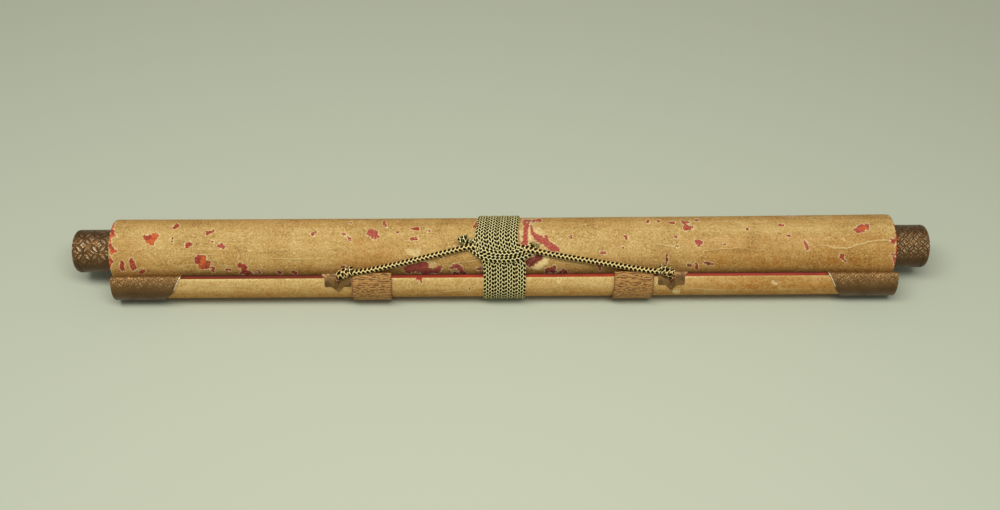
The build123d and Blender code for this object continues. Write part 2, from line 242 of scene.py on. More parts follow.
def makeStudio():
    bm = bmesh.new()
    bmesh.ops.create_grid(bm, x_segments=1, y_segments=1, size=studio["tableSize"] / 2)
    mesh = bpy.data.meshes.new("table")
    bm.to_mesh(mesh)
    bm.free()
    table = bpy.data.objects.new("table", mesh)
    bpy.context.scene.collection.objects.link(table)
    surface, tree = newMaterial("tableTop", 0.9, specular=0.2)
    shade = remap(tree, axes(tree, objectPlace(tree))[1], -studio["shadeReach"], studio["shadeReach"],
                  studio["nearShade"], studio["farShade"])
    shader = tree.nodes["Principled BSDF"]
    tree.links.new(scaled(tree, studio["tableColour"], shade), shader.inputs["Base Color"])
    mesh.materials.append(surface)
    lampData = bpy.data.lights.new("softBox", "AREA")
    lampData.shape = "RECTANGLE"
    lampData.size = studio["lampLength"]
    lampData.size_y = studio["lampWidth"]
    lampData.energy = studio["lampPower"]
    lamp = bpy.data.objects.new("softBox", lampData)
    lamp.location = studio["lampAt"]
    lamp.rotation_euler = Vector(studio["lampAt"]).to_track_quat("Z", "Y").to_euler()
    bpy.context.scene.collection.objects.link(lamp)
    world = bpy.data.worlds.new("roomLight")
    world.use_nodes = True
    world.node_tree.nodes["Background"].inputs["Color"].default_value = (1, 1, 1, 1)
    world.node_tree.nodes["Background"].inputs["Strength"].default_value = studio["skyStrength"]
    bpy.context.scene.world = world
    bpy.context.scene.view_settings.view_transform = "Standard"


shot = placeCamera()
makeStudio()
print("camera, table and light placed")


# Two-colour braid read from a stitch map: U counts rows along the cord, V counts columns round it
def makeBraidGroup():
    tree, takes, gives = newGroup(
        "twoColourBraid", {"Stitch Map": None, "Slant": 0.8, "Taper": 1.5, "Dark Level": 0.0, "Fuzz": 0.1},
        ["Dark", "Height"])
    row, column = axes(tree, takes["Stitch Map"])[:2]
    index = mathNode(tree, "FLOOR", column)
    across = minus(tree, mathNode(tree, "FRACT", column), 0.5)
    odd = mathNode(tree, "FLOORED_MODULO", index, 2.0)
    way = timesPlus(tree, odd, -2.0, 1.0)
    slide = times(tree, times(tree, way, across), takes["Slant"])
    phase = mathNode(tree, "ADD", timesPlus(tree, odd, 0.5, row), slide)
    wave = mathNode(tree, "COSINE", times(tree, phase, 2 * math.pi))
    fibre = minus(tree, noiseNode(tree, takes["Stitch Map"], 4.0, 3.0), 0.5)
    edge = mathNode(tree, "POWER", mathNode(tree, "ABSOLUTE", times(tree, across, 2.0)), 2.0)
    level = timesPlus(tree, edge, takes["Taper"], wave)
    level = timesPlus(tree, fibre, takes["Fuzz"], level)
    level = minus(tree, level, takes["Dark Level"])
    tree.links.new(remap(tree, level, -0.22, 0.18, 1.0, 0.0), gives["Dark"])
    # the seam lowers each column's edges, which the braid's material paints as shade
    seam = remap(tree, edge, 0.6, 1.0, 0.0, 0.35)
    tree.links.new(minus(tree, remap(tree, level, 0.0, 0.9), seam), gives["Height"])
    return tree


# Aged paper: cloudy tone, streaks along the roll, a fine laid texture, pale flecks and fine creases
def makePaperGroup():
    tree, takes, gives = newGroup("agedPaper", {"Place": None, "Streaks": 1.0, "Flecks": 1.0},
                                  ["Tone", "Fleck", "Crease", "Height"])
    place = takes["Place"]
    cloud = noiseNode(tree, place, 22.0, 5.0, 0.6)
    patchy = noiseNode(tree, place, 90.0, 5.0, 0.7)
    streak = noiseNode(tree, stretched(tree, place, (16.0, 300.0, 300.0)), 1.0, 5.0, 0.65)
    laid = noiseNode(tree, stretched(tree, place, (700.0, 420.0, 420.0)), 1.0, 3.0, 0.6)
    grain = noiseNode(tree, place, 900.0, 3.0, 0.65)
    tone = timesPlus(tree, cloud, 0.26, -0.24)
    tone = timesPlus(tree, patchy, 0.22, tone)
    tone = timesPlus(tree, times(tree, streak, takes["Streaks"]), 0.26, tone)
    tone = timesPlus(tree, laid, 0.18, tone)
    tree.links.new(timesPlus(tree, grain, 0.78, tone), gives["Tone"])
    fleckNoise = noiseNode(tree, stretched(tree, place, (420.0, 560.0, 560.0)), 1.0, 4.0, 0.75)
    fleckLevel = timesPlus(tree, noiseNode(tree, place, 60.0, 3.0, 0.6), 0.30, fleckNoise)
    tree.links.new(times(tree, remap(tree, fleckLevel, 0.745, 0.82), takes["Flecks"]), gives["Fleck"])
    wander = noiseNode(tree, stretched(tree, place, (11.0, 85.0, 85.0)), 1.0, 3.0, 0.5, 0.5)
    crease = remap(tree, mathNode(tree, "ABSOLUTE", minus(tree, wander, 0.5)), 0.0, 0.011, 1.0, 0.0)
    rare = remap(tree, noiseNode(tree, place, 14.0, 2.0), 0.46, 0.60)
    tree.links.new(times(tree, crease, rare), gives["Crease"])
    relief = timesPlus(tree, laid, 0.35, times(tree, grain, 0.35))
    tree.links.new(timesPlus(tree, streak, 0.8, relief), gives["Height"])
    return tree


# Torn spots from the worn field, in mm inside the tear: the ground laid bare, and the pale torn rim round it
def makeTornGroup():
    tree, takes, gives = newGroup("tornSpots", {"Field": -3.0, "Place": None, "Raggedness": 1.0, "Rim": 0.6},
                                  ["Bare", "Core", "Torn Rim", "Height"])
    coarse = minus(tree, noiseNode(tree, takes["Place"], 430.0, 3.0, 0.65), 0.5)
    fine = minus(tree, noiseNode(tree, takes["Place"], 1250.0, 2.0, 0.6), 0.5)
    ragged = timesPlus(tree, coarse, 4.6, times(tree, fine, 1.6))
    field = mathNode(tree, "ADD", takes["Field"], times(tree, ragged, takes["Raggedness"]))
    bare = remap(tree, field, -0.10, 0.10)
    tree.links.new(bare, gives["Bare"])
    tree.links.new(remap(tree, field, 0.35, 1.7), gives["Core"])
    outer = minus(tree, times(tree, takes["Rim"], -1.0), 0.25)
    whole = minus(tree, 1.0, bare)
    rim = times(tree, remap(tree, field, outer, 0.0), whole)
    near = remap(tree, takes["Field"], -1.4, -0.6)
    tree.links.new(times(tree, rim, near), gives["Torn Rim"])
    tree.links.new(whole, gives["Height"])
    return tree


# A point's place on a round piece, in mm along it and round it, with the seam underneath
def makeRoundPlaceGroup():
    tree, takes, gives = newGroup("roundPlace", {"Place": None, "Centre Y": 0.0, "Centre Z": 0.0, "Radius": 0.012},
                                  ["Unrolled"], "NodeSocketVector")
    x, y, z = axes(tree, takes["Place"])
    turned = mathNode(tree, "ARCTAN2", minus(tree, y, takes["Centre Y"]), minus(tree, z, takes["Centre Z"]))
    around = times(tree, turned, takes["Radius"])
    made = addNode(tree, "ShaderNodeCombineXYZ", {0: times(tree, x, 1 / mm), 1: times(tree, around, 1 / mm)})
    tree.links.new(made.outputs[0], gives["Unrolled"])
    return tree


# Engraved ornament: petals made by crossing circles, with small leaves between them
def makeEngravedGroup():
    tree, takes, gives = newGroup("engravedOrnament", {"Unrolled": None, "Petal Size": 8.0, "Sway": 1.0},
                                  ["Cut", "Ridge Highlight", "Height"])
    warp = addNode(tree, "ShaderNodeTexNoise", {"Vector": takes["Unrolled"], "Scale": 0.22, "Detail": 2.0})
    bend = vectorNode(tree, "SUBTRACT", warp.outputs["Color"], (0.5, 0.5, 0.5))[0]
    bent = scaled(tree, bend, times(tree, takes["Petal Size"], takes["Sway"]))
    place = vectorNode(tree, "ADD", takes["Unrolled"], bent)[0]
    cells = scaled(tree, place, mathNode(tree, "DIVIDE", 1.0, takes["Petal Size"]))

    def circleGap(shift, radius):
        moved = vectorNode(tree, "ADD", cells, (shift, shift, 0))[0]
        inCell = vectorNode(tree, "FRACTION", moved)[0]
        middle = vectorNode(tree, "SUBTRACT", inCell, (0.5, 0.5, 0))[0]
        flat = vectorNode(tree, "MULTIPLY", middle, (1, 1, 0))[0]
        away = vectorNode(tree, "LENGTH", flat)["Value"]
        return mathNode(tree, "ABSOLUTE", minus(tree, away, radius))

    gap = mathNode(tree, "MINIMUM", circleGap(0.0, 0.5), circleGap(0.5, 0.5))
    leaves = addNode(tree, "ShaderNodeTexVoronoi", {"Vector": cells, "Scale": 5.0, "Randomness": 0.9},
                     feature="DISTANCE_TO_EDGE").outputs["Distance"]
    line = remap(tree, gap, 0.015, 0.06, 1.0, 0.0)
    worn = remap(tree, noiseNode(tree, cells, 2.2, 3.0, 0.6), 0.38, 0.62)
    vein = times(tree, remap(tree, leaves, 0.02, 0.08, 0.45, 0.0), worn)
    cut = times(tree, mathNode(tree, "MAXIMUM", line, vein), remap(tree, worn, 0.0, 1.0, 0.35, 1.0))
    # raised shoulders beside the cuts, which the metal paints with a highlight
    shoulder = times(tree, remap(tree, gap, 0.05, 0.10), remap(tree, gap, 0.12, 0.20, 1.0, 0.0))
    swell = times(tree, timesPlus(tree, remap(tree, leaves, 0.05, 0.3), 0.25, shoulder), worn)
    tree.links.new(cut, gives["Cut"])
    tree.links.new(times(tree, swell, minus(tree, 1.0, cut)), gives["Ridge Highlight"])
    tree.links.new(minus(tree, swell, cut), gives["Height"])
    return tree


braidGroup = makeBraidGroup()
paperGroup = makePaperGroup()
tornGroup = makeTornGroup()
roundPlaceGroup = makeRoundPlaceGroup()
engravedGroup = makeEngravedGroup()
print("shared effects built")


def srgb(red, green, blue):
    def linear(value):
        value = value / 255
        return value / 12.92 if value <= 0.04045 else ((value + 0.055) / 1.055) ** 2.4
    return linear(red), linear(green), linear(blue), 1


def dimmed(colour, red, green, blue):
    return colour[0] * red, colour[1] * green, colour[2] * blue, 1


paper = {
    "light": srgb(222, 193, 126),
    "middle": srgb(198, 164, 95),
    "dark": srgb(150, 116, 60),
    "fleck": srgb(242, 218, 156),
    "crease": srgb(232, 204, 142),
    "rim": srgb(246, 224, 164),
    "tornEdge": srgb(188, 78, 58),
    "pores": (0.05, 0.02, 0.015, 1),
    "darkeningTakes": (0.20, 0.40, 0.58),     # share of red, green and blue that full darkening, painted shade and soiling, takes away
}


def makePaper(name, streaks, flecks):
    surface, tree = newMaterial(name, 0.78, specular=0.25)
    place = objectPlace(tree)
    look = useGroup(tree, paperGroup, {"Place": place, "Streaks": streaks, "Flecks": flecks})
    field = attribute(tree, "wornField")
    ground = attribute(tree, "wornTone", "Color")
    torn = useGroup(tree, tornGroup, {"Field": field, "Place": place, "Raggedness": 1.0, "Rim": 0.65})
    ramp = addNode(tree, "ShaderNodeValToRGB", {0: look["Tone"]})
    ramp.color_ramp.elements[0].position = 0.42
    ramp.color_ramp.elements[0].color = paper["dark"]
    ramp.color_ramp.elements[1].position = 0.78
    ramp.color_ramp.elements[1].color = paper["light"]
    ramp.color_ramp.elements.new(0.60).color = paper["middle"]
    colour = mixColour(tree, times(tree, look["Fleck"], 0.75), ramp.outputs[0], paper["fleck"])
    colour = mixColour(tree, times(tree, look["Crease"], 0.45), colour, paper["crease"])
    # painted shade and soiling from the mesh, made uneven with noise; below zero it paints a highlight
    smudge = remap(tree, noiseNode(tree, place, 55.0, 4.0, 0.6), 0.3, 0.7, -0.10, 0.14)
    uneven = remap(tree, noiseNode(tree, place, 240.0, 4.0, 0.65), 0.3, 0.7, 0.65, 1.3)
    darkening = timesPlus(tree, attribute(tree, "darkening"), uneven, smudge)
    kept = vectorNode(tree, "SUBTRACT", (1, 1, 1), scaled(tree, paper["darkeningTakes"], darkening))[0]
    colour = vectorNode(tree, "MULTIPLY", colour, kept)[0]
    # painted highlight along each crease's raised line and painted shade in the dip below it
    fold = attribute(tree, "fold")
    ridgeHighlight = remap(tree, mathNode(tree, "ABSOLUTE", fold), 0.1, 0.7, 0.6, 0.0)
    hollowShade = times(tree, remap(tree, fold, 0.2, 0.6, 0.0, 0.45), remap(tree, fold, 0.6, 2.4, 1.0, 0.0))
    colour = mixColour(tree, hollowShade, colour, paper["dark"])
    colour = mixColour(tree, ridgeHighlight, colour, paper["crease"])
    colour = mixColour(tree, times(tree, torn["Torn Rim"], 0.85), colour, paper["rim"])
    edge = mixColour(tree, 0.16, ground, paper["tornEdge"])
    bared = mixColour(tree, torn["Core"], edge, ground)
    pores = remap(tree, noiseNode(tree, place, 700.0, 3.0, 0.6), 0.38, 0.62, 0.0, 0.55)
    bared = mixColour(tree, pores, bared, paper["pores"], "SOFT_LIGHT")
    fibres = remap(tree, noiseNode(tree, place, 1100.0, 3.0, 0.6), 0.54, 0.68, 0.0, 0.5)
    bared = mixColour(tree, fibres, bared, paper["middle"])
    colour = mixColour(tree, torn["Bare"], colour, bared)
    relief = timesPlus(tree, torn["Height"], 2.4, look["Height"])
    relief = timesPlus(tree, look["Crease"], 0.7, relief)
    return finishMaterial(surface, colour, relief, 0.00012, 0.9)


braid = {
    "rowPitch": 3.0,         # mm between stitches along a cord
    "rowLength": 0.5,        # mm between rows of faces
    "bulge": 0.30,           # mm by which a pale stitch stands out
    "sunk": 0.6,             # level of a stitch that lies at the cord's own size
    "slant": 0.30,
    "taper": 1.55,           # how much a dark stitch narrows towards its column's edges
    "plateau": 0.9,          # level from which a stitch is at its full height
    "seamDepth": 0.35,
    "seamStart": 0.8,        # share of the way from a column's middle to its edge
    "endSize": 0.35,         # a cord narrows to this share at its ends, over this many rows
    "endRows": 3,
}


def makeBraid(name, crestHighlight, pale, dark, darkLevel):
    surface, tree = newMaterial(name, 0.75, specular=0.1)
    stitches = addNode(tree, "ShaderNodeUVMap", uv_map="stitches").outputs[0]
    look = useGroup(tree, braidGroup, {"Stitch Map": stitches, "Slant": braid["slant"], "Taper": braid["taper"],
                                       "Dark Level": darkLevel, "Fuzz": 0.6})
    darkening = remap(tree, noiseNode(tree, objectPlace(tree), 160.0, 4.0, 0.6), 0.4, 0.75, 0.0, 0.30)
    soiled = mixColour(tree, darkening, pale, dimmed(pale, 0.6, 0.6, 0.45))
    # painted shade low between the stitches, where the braid is lowest
    strand = remap(tree, look["Height"], -0.15, 0.60)
    strand = mixColour(tree, strand, dimmed(pale, 0.20, 0.19, 0.10), soiled)
    # painted highlight on the stitches' tops
    strand = mixColour(tree, remap(tree, look["Height"], 0.40, 0.85, 0.0, 0.9), strand, crestHighlight)
    colour = mixColour(tree, look["Dark"], strand, dark)
    thread = noiseNode(tree, stretched(tree, stitches, (3.0, 14.0, 1.0)), 2.0, 2.0)
    return finishMaterial(surface, colour, timesPlus(tree, thread, 0.3, look["Height"]), 0.0003, 0.5)


brass = {
    "knobGround": srgb(140, 100, 52),
    # painted highlight on the knob ornament's raised edges
    "knobRidgeHighlight": srgb(236, 208, 160),
    "capGround": srgb(160, 120, 68),
    # painted highlight on the cap ornament's raised edges
    "capRidgeHighlight": srgb(216, 174, 116),
    "cut": srgb(44, 28, 14),
    # painted shade on the metal's sides turned from the lamp
    "paintedShade": srgb(60, 36, 16),
    # painted highlight along a cap's slanted rim
    "edgeHighlight": srgb(244, 226, 184),
    "plate": srgb(150, 112, 60),
    "eye": srgb(150, 104, 70),
}


# Painted highlight: a light line along the slanted rim of a cap's sleeve, which edge gives as capReach reads it
def rimHighlight(tree, place, edge, endX):
    (reach, low), (nextReach, nextLow) = edge[:2]
    slope = (reach - nextReach) / (nextLow - low)
    x, y, z = axes(tree, place)
    fromEnd = mathNode(tree, "ABSOLUTE", minus(tree, x, endX * mm))
    below = timesPlus(tree, z, -math.cos(viewRise), axisY * math.sin(viewRise) + axisZ * math.cos(viewRise))
    drop = timesPlus(tree, y, -math.sin(viewRise), below)
    inside = minus(tree, (reach + low * slope) * mm, timesPlus(tree, drop, slope, fromEnd))
    return times(tree, remap(tree, inside, 0.0004, 0.0010, 1.0, 0.0), remap(tree, drop, 0.027, 0.029, 1.0, 0.0))


# Engraved metal of a round piece, with painted shade away from a lit band and a painted glint on the ornament's
# raised edges in that band. petals are their size in mm and sway, centre is the piece's own axis, from the roll's
# axis
def makeEngraved(name, look, petals, centre, radius, edge=None, endX=0.0):
    ground, ridgeHighlight = look["ground"], look["ridgeHighlight"]
    surface, tree = newMaterial(name, look["roughness"], metallic=0.6)
    place = objectPlace(tree)
    unrolled = useGroup(tree, roundPlaceGroup, {"Place": place, "Centre Y": axisY + centre[0] * mm,
                                                "Centre Z": axisZ + centre[1] * mm, "Radius": radius * mm})[0]
    ornament = useGroup(tree, engravedGroup, {"Unrolled": unrolled, "Petal Size": petals[0], "Sway": petals[1]})
    age = remap(tree, noiseNode(tree, place, 90.0, 5.0, 0.6), 0.35, 0.7)
    colour = mixColour(tree, age, ground, dimmed(ground, 0.70, 0.66, 0.60))
    turned = mathNode(tree, "DIVIDE", axes(tree, unrolled)[1], radius)
    # painted shade on the sides turned from the lamp, leaving a lit band that faces between the lamp and the
    # camera
    paintedShade = mathNode(tree, "MAXIMUM", remap(tree, turned, -1.45, -0.70, 1.0, 0.0),
                       remap(tree, turned, -0.45, 0.15, 0.0, 0.75))
    litBand = minus(tree, 1.0, paintedShade)
    colour = mixColour(tree, times(tree, paintedShade, 0.72), colour, brass["paintedShade"])
    shown = timesPlus(tree, mathNode(tree, "POWER", litBand, 1.5), 0.8, 0.2)
    cut = times(tree, times(tree, ornament["Cut"], shown), 0.6 * look["depth"])
    colour = mixColour(tree, cut, colour, brass["cut"])
    # painted glint on the ornament's raised edges within the lit band
    paintedGlint = times(tree, times(tree, ornament["Ridge Highlight"], litBand), 1.1 * look["depth"])
    colour = mixColour(tree, paintedGlint, colour, ridgeHighlight)
    if edge:
        # painted highlight along the cap's slanted rim
        colour = mixColour(tree, times(tree, rimHighlight(tree, place, edge, endX), 0.85), colour, brass["edgeHighlight"])
    return finishMaterial(surface, colour, times(tree, ornament["Height"], shown), 0.0007 * look["depth"], 0.9,
                          timesPlus(tree, age, 0.16, look["roughness"] - 0.06))


def makeDullBrass(name, ground, roughness, metallic):
    surface, tree = newMaterial(name, roughness, metallic=metallic)
    place = objectPlace(tree)
    age = remap(tree, noiseNode(tree, place, 260.0, 5.0, 0.6), 0.35, 0.65)
    colour = mixColour(tree, age, dimmed(ground, 0.45, 0.42, 0.38), ground)
    return finishMaterial(surface, colour, noiseNode(tree, place, 700.0, 4.0), 0.0002, 0.5,
                          timesPlus(tree, age, -0.2, roughness + 0.1))


def makePlainWood(name):
    surface, tree = newMaterial(name, 0.6)
    grain = noiseNode(tree, stretched(tree, objectPlace(tree), (8.0, 300.0, 300.0)), 1.0, 5.0, 0.6)
    colour = mixColour(tree, grain, srgb(110, 76, 44), srgb(176, 132, 84))
    return finishMaterial(surface, colour, grain, 0.0001, 0.5)


strip = {
    "width": 27.2,
    "places": {"left": -89.6, "right": 92.3},    # middle along X
    "standsOut": 1.1,        # mm from the stave to the strip's outside
    "thickness": 0.9,
    "legLength": 4.4,        # mm down the stave's flat side
    "endAngle": 266.0,
    "lowerEndShift": -0.7,   # mm along X by which the lower end is set off
    "lowerFlare": 0.012,     # share by which the lower end is wider
    "edgeWave": 0.18,
    "lift": 0.08,
    "underFloor": 1.2,       # mm below the sheet's underside that the strip may reach
    "light": srgb(206, 156, 88),
    "dark": srgb(84, 48, 22),
    "edge": srgb(120, 60, 34),
}


def makeRibbedSilk(name):
    surface, tree = newMaterial(name, 0.7, specular=0.3)
    weave = addNode(tree, "ShaderNodeUVMap", uv_map="weave").outputs[0]
    drift = noiseNode(tree, stretched(tree, weave, (0.16, 0.5, 1.0)), 1.0, 3.0, 0.6)
    across, along = axes(tree, weave)[:2]
    ribs = timesPlus(tree, along, 0.72, times(tree, drift, 3.2))
    wave = mathNode(tree, "SINE", times(tree, ribs, 2 * math.pi))
    gaps = noiseNode(tree, stretched(tree, weave, (0.26, 1.3, 1.0)), 1.0, 2.0, 0.5)
    dash = times(tree, remap(tree, wave, -0.1, 0.6), remap(tree, gaps, 0.36, 0.48))
    thread = noiseNode(tree, stretched(tree, weave, (0.9, 4.0, 1.0)), 1.0, 4.0, 0.65)
    shaded = dimmed(strip["light"], 0.66, 0.60, 0.50)
    colour = mixColour(tree, remap(tree, thread, 0.3, 0.7), strip["light"], shaded)
    colour = mixColour(tree, times(tree, dash, 0.85), colour, strip["dark"])
    halfWidth = strip["width"] / 2
    side = remap(tree, mathNode(tree, "ABSOLUTE", across), halfWidth - 1.1, halfWidth - 0.2)
    colour = mixColour(tree, times(tree, side, 0.55), colour, strip["edge"])
    return finishMaterial(surface, colour, timesPlus(tree, dash, -0.9, times(tree, thread, 0.5)), 0.0003, 0.8)


def makeThread(name, light, dark):
    surface, tree = newMaterial(name, 0.8, specular=0.2)
    strand = noiseNode(tree, objectPlace(tree), 1400.0, 3.0, 0.6)
    colour = mixColour(tree, remap(tree, strand, 0.35, 0.65), dark, light)
    return finishMaterial(surface, colour, strand, 0.0002, 0.5)


# Red silk, browner at the left end, where it is painted shade under the roll's overhang, and paler at the right
def makeRedSilk(name):
    surface, tree = newMaterial(name, 0.8, specular=0.2)
    place = objectPlace(tree)
    thread = noiseNode(tree, stretched(tree, place, (120.0, 1400.0, 1400.0)), 1.0, 3.0, 0.6)
    fade = noiseNode(tree, place, 45.0, 4.0, 0.6)
    along = axes(tree, place)[0]
    # painted shade: browner towards the left end, under the roll's overhang
    colour = mixColour(tree, remap(tree, along, -0.11, -0.04), srgb(146, 60, 34), srgb(200, 68, 36))
    colour = mixColour(tree, remap(tree, along, 0.08, 0.14), colour, srgb(196, 80, 56))
    colour = mixColour(tree, remap(tree, fade, 0.3, 0.7, 0.0, 0.45), colour, srgb(96, 34, 20))
    colour = mixColour(tree, times(tree, thread, 0.6), colour, srgb(96, 28, 16))
    colour = mixColour(tree, attribute(tree, "inShadow"), colour, srgb(40, 20, 14))
    return finishMaterial(surface, colour, thread, 0.0002, 0.6)


# Edges of the roll's turns, layered by their distance from its axis
def makeTurnEdges(name):
    surface, tree = newMaterial(name, 0.85, specular=0.2)
    place = objectPlace(tree)
    split = axes(tree, place)
    fromY, fromZ = minus(tree, split[1], axisY), minus(tree, split[2], axisZ)
    radius = mathNode(tree, "POWER", timesPlus(tree, fromY, fromY, times(tree, fromZ, fromZ)), 0.5)
    outwards = addNode(tree, "ShaderNodeCombineXYZ", {0: times(tree, radius, 2600.0)}).outputs[0]
    layers = noiseNode(tree, outwards, 1.0, 3.0, 0.7)
    spots = noiseNode(tree, place, 320.0, 4.0, 0.6)
    colour = mixColour(tree, remap(tree, layers, 0.35, 0.65), srgb(122, 84, 46), srgb(222, 190, 130))
    colour = mixColour(tree, remap(tree, spots, 0.55, 0.75, 0.0, 0.5), colour, srgb(150, 84, 52))
    return finishMaterial(surface, colour, layers, 0.0002, 0.5)


rollPaper = makePaper("rollPaper", 1.0, 1.0)
stavePaper = makePaper("stavePaper", 1.35, 0.8)
turnEdges = makeTurnEdges("turnEdges")
redSilk = makeRedSilk("redFacingSilk")
ribbedSilk = makeRibbedSilk("ribbedSilk")
wrapBraid = makeBraid("wrapBraid", srgb(255, 252, 194), srgb(252, 230, 142), srgb(24, 13, 0), 0.74)
hangingBraid = makeBraid("hangingBraid", srgb(252, 232, 164), srgb(222, 184, 100), srgb(24, 13, 0), 0.56)
plateMetal = makeDullBrass("plateMetal", brass["plate"], 0.5, 0.5)
eyeMetal = makeDullBrass("eyeMetal", brass["eye"], 0.35, 0.8)
plainWood = makePlainWood("plainWood")
darkThread = makeThread("darkThread", srgb(22, 44, 36), srgb(8, 12, 9))
paleThread = makeThread("paleThread", srgb(176, 164, 96), srgb(104, 92, 44))
print("materials built")


def newGrid(xSegments, ySegments):
    bm = bmesh.new()
    bmesh.ops.create_grid(bm, x_segments=xSegments, y_segments=ySegments, size=0.5)
    return bm


# Gives a sheet its thickness in mm
def thicken(bm, thickness):
    bmesh.ops.recalc_face_normals(bm, faces=bm.faces)
    bmesh.ops.solidify(bm, geom=bm.faces, thickness=thickness * mm)
    bmesh.ops.recalc_face_normals(bm, faces=bm.faces)


def finishPiece(bm, name, surface, replaces=()):
    mesh = bpy.data.meshes.new(name)
    bm.to_mesh(mesh)
    bm.free()
    for face in mesh.polygons:
        face.use_smooth = True
    piece = bpy.data.objects.new(name, mesh)
    bpy.context.scene.collection.objects.link(piece)
    mesh.materials.append(surface)
    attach(piece, "root")
    if replaces:
        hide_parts(*replaces)
    return piece


def surfaceNode(name, surface):
    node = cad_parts[name]
    node.data.materials.clear()
    node.data.materials.append(surface)


roll = {
    "radius": 21.7,          # mm at the middle, where the cord holds it tight
    "leftSwell": 0.45,       # how much thicker the left end is
    "rightSwell": 0.85,
    "swellReach": 272,       # from the middle to where the swell is full
    "leftX": -271.4,
    "rightX": 273.8,
    "floor": -21.85,         # the sheet's underside, from the axis
    "lengthSteps": 600,
    "roundSteps": 140,
    "middleAngle": -53.0,    # degrees, the side that faces straight away from the camera
    "rimRounding": 0.25,     # mm taken off the radius over the last stretch before each end
    "rimReach": 1.5,
    "unevenness": 0.10,
    "lipShare": 0.965,       # share of the radius down to which the outer turn's ends are closed
    "rodRadius": 11.0,
    "turnsRadius": 20.9,
    "turnPitch": 0.6,
    "turnThickness": 0.46,
    "stepsPerTurn": 64,
    "turnInset": 0.4,        # mm from the roll's end to the inner turns' edges, and how far those wander
    "turnWander": 0.35,
    # darkening round the roll, by degrees from straight back over the top, and what is added along X in mm
    # painted shade, most low down towards the stave and under the roll and least on the top that faces the lamp,
    # with some soiling
    "darkeningAngle": [0, 45, 62, 80, 96, 124, 140, 154, 165, 175, 190, 270, 360],
    "darkening": [0.75, 0.75, 0.68, 0.42, 0.15, 0.10, 0.28, 0.42, 0.62, 1.0, 1.2, 0.8, 0.75],
    "darkeningX": [-272, -255, -225, -200, -115, -90, -65, 60, 120, 160, 274],
    "addedDarkening": [0.32, 0.28, 0.10, 0.12, 0.20, 0.62, 0.18, 0.08, 0.14, 0.55, 0.55],
}
stave = {
    "radius": 13.4,
    "centre": (-18.921, -8.45),
    "tilt": 21.0,
    "cornerAngle": 116.3,
    "paperFrom": 126.5,
    # each cap's slanted inner edge: how far it reaches from the cap's end, and how low that is in the view
    "leftEdge": [(49.8, 17.0), (44.4, 27.6), (40.0, 31.6), (31.0, 35.4)],
    "rightEdge": [(49.4, 17.0), (44.8, 26.0), (41.4, 30.9), (35.5, 35.4)],
    "leftX": -271.4,
    "rightX": 276.0,
    # painted shade round the stave, growing towards its underside; below zero, a painted highlight along its top
    # edge
    "darkeningAngle": [100, 127, 130, 134, 150, 162, 172, 180, 190, 210, 270],
    "darkening": [0.0, -0.35, -0.25, 0.12, 0.28, 0.48, 0.75, 0.90, 1.0, 1.1, 0.9],
    "darkeningX": [-276, 110, 150, 276],
    "addedDarkening": [0.05, 0.05, 0.72, 0.72],
}


def rollRadius(x):
    swell = roll["leftSwell"] if x < 0 else roll["rightSwell"]
    return roll["radius"] + swell * min(1.2, abs(x) / roll["swellReach"]) ** 2


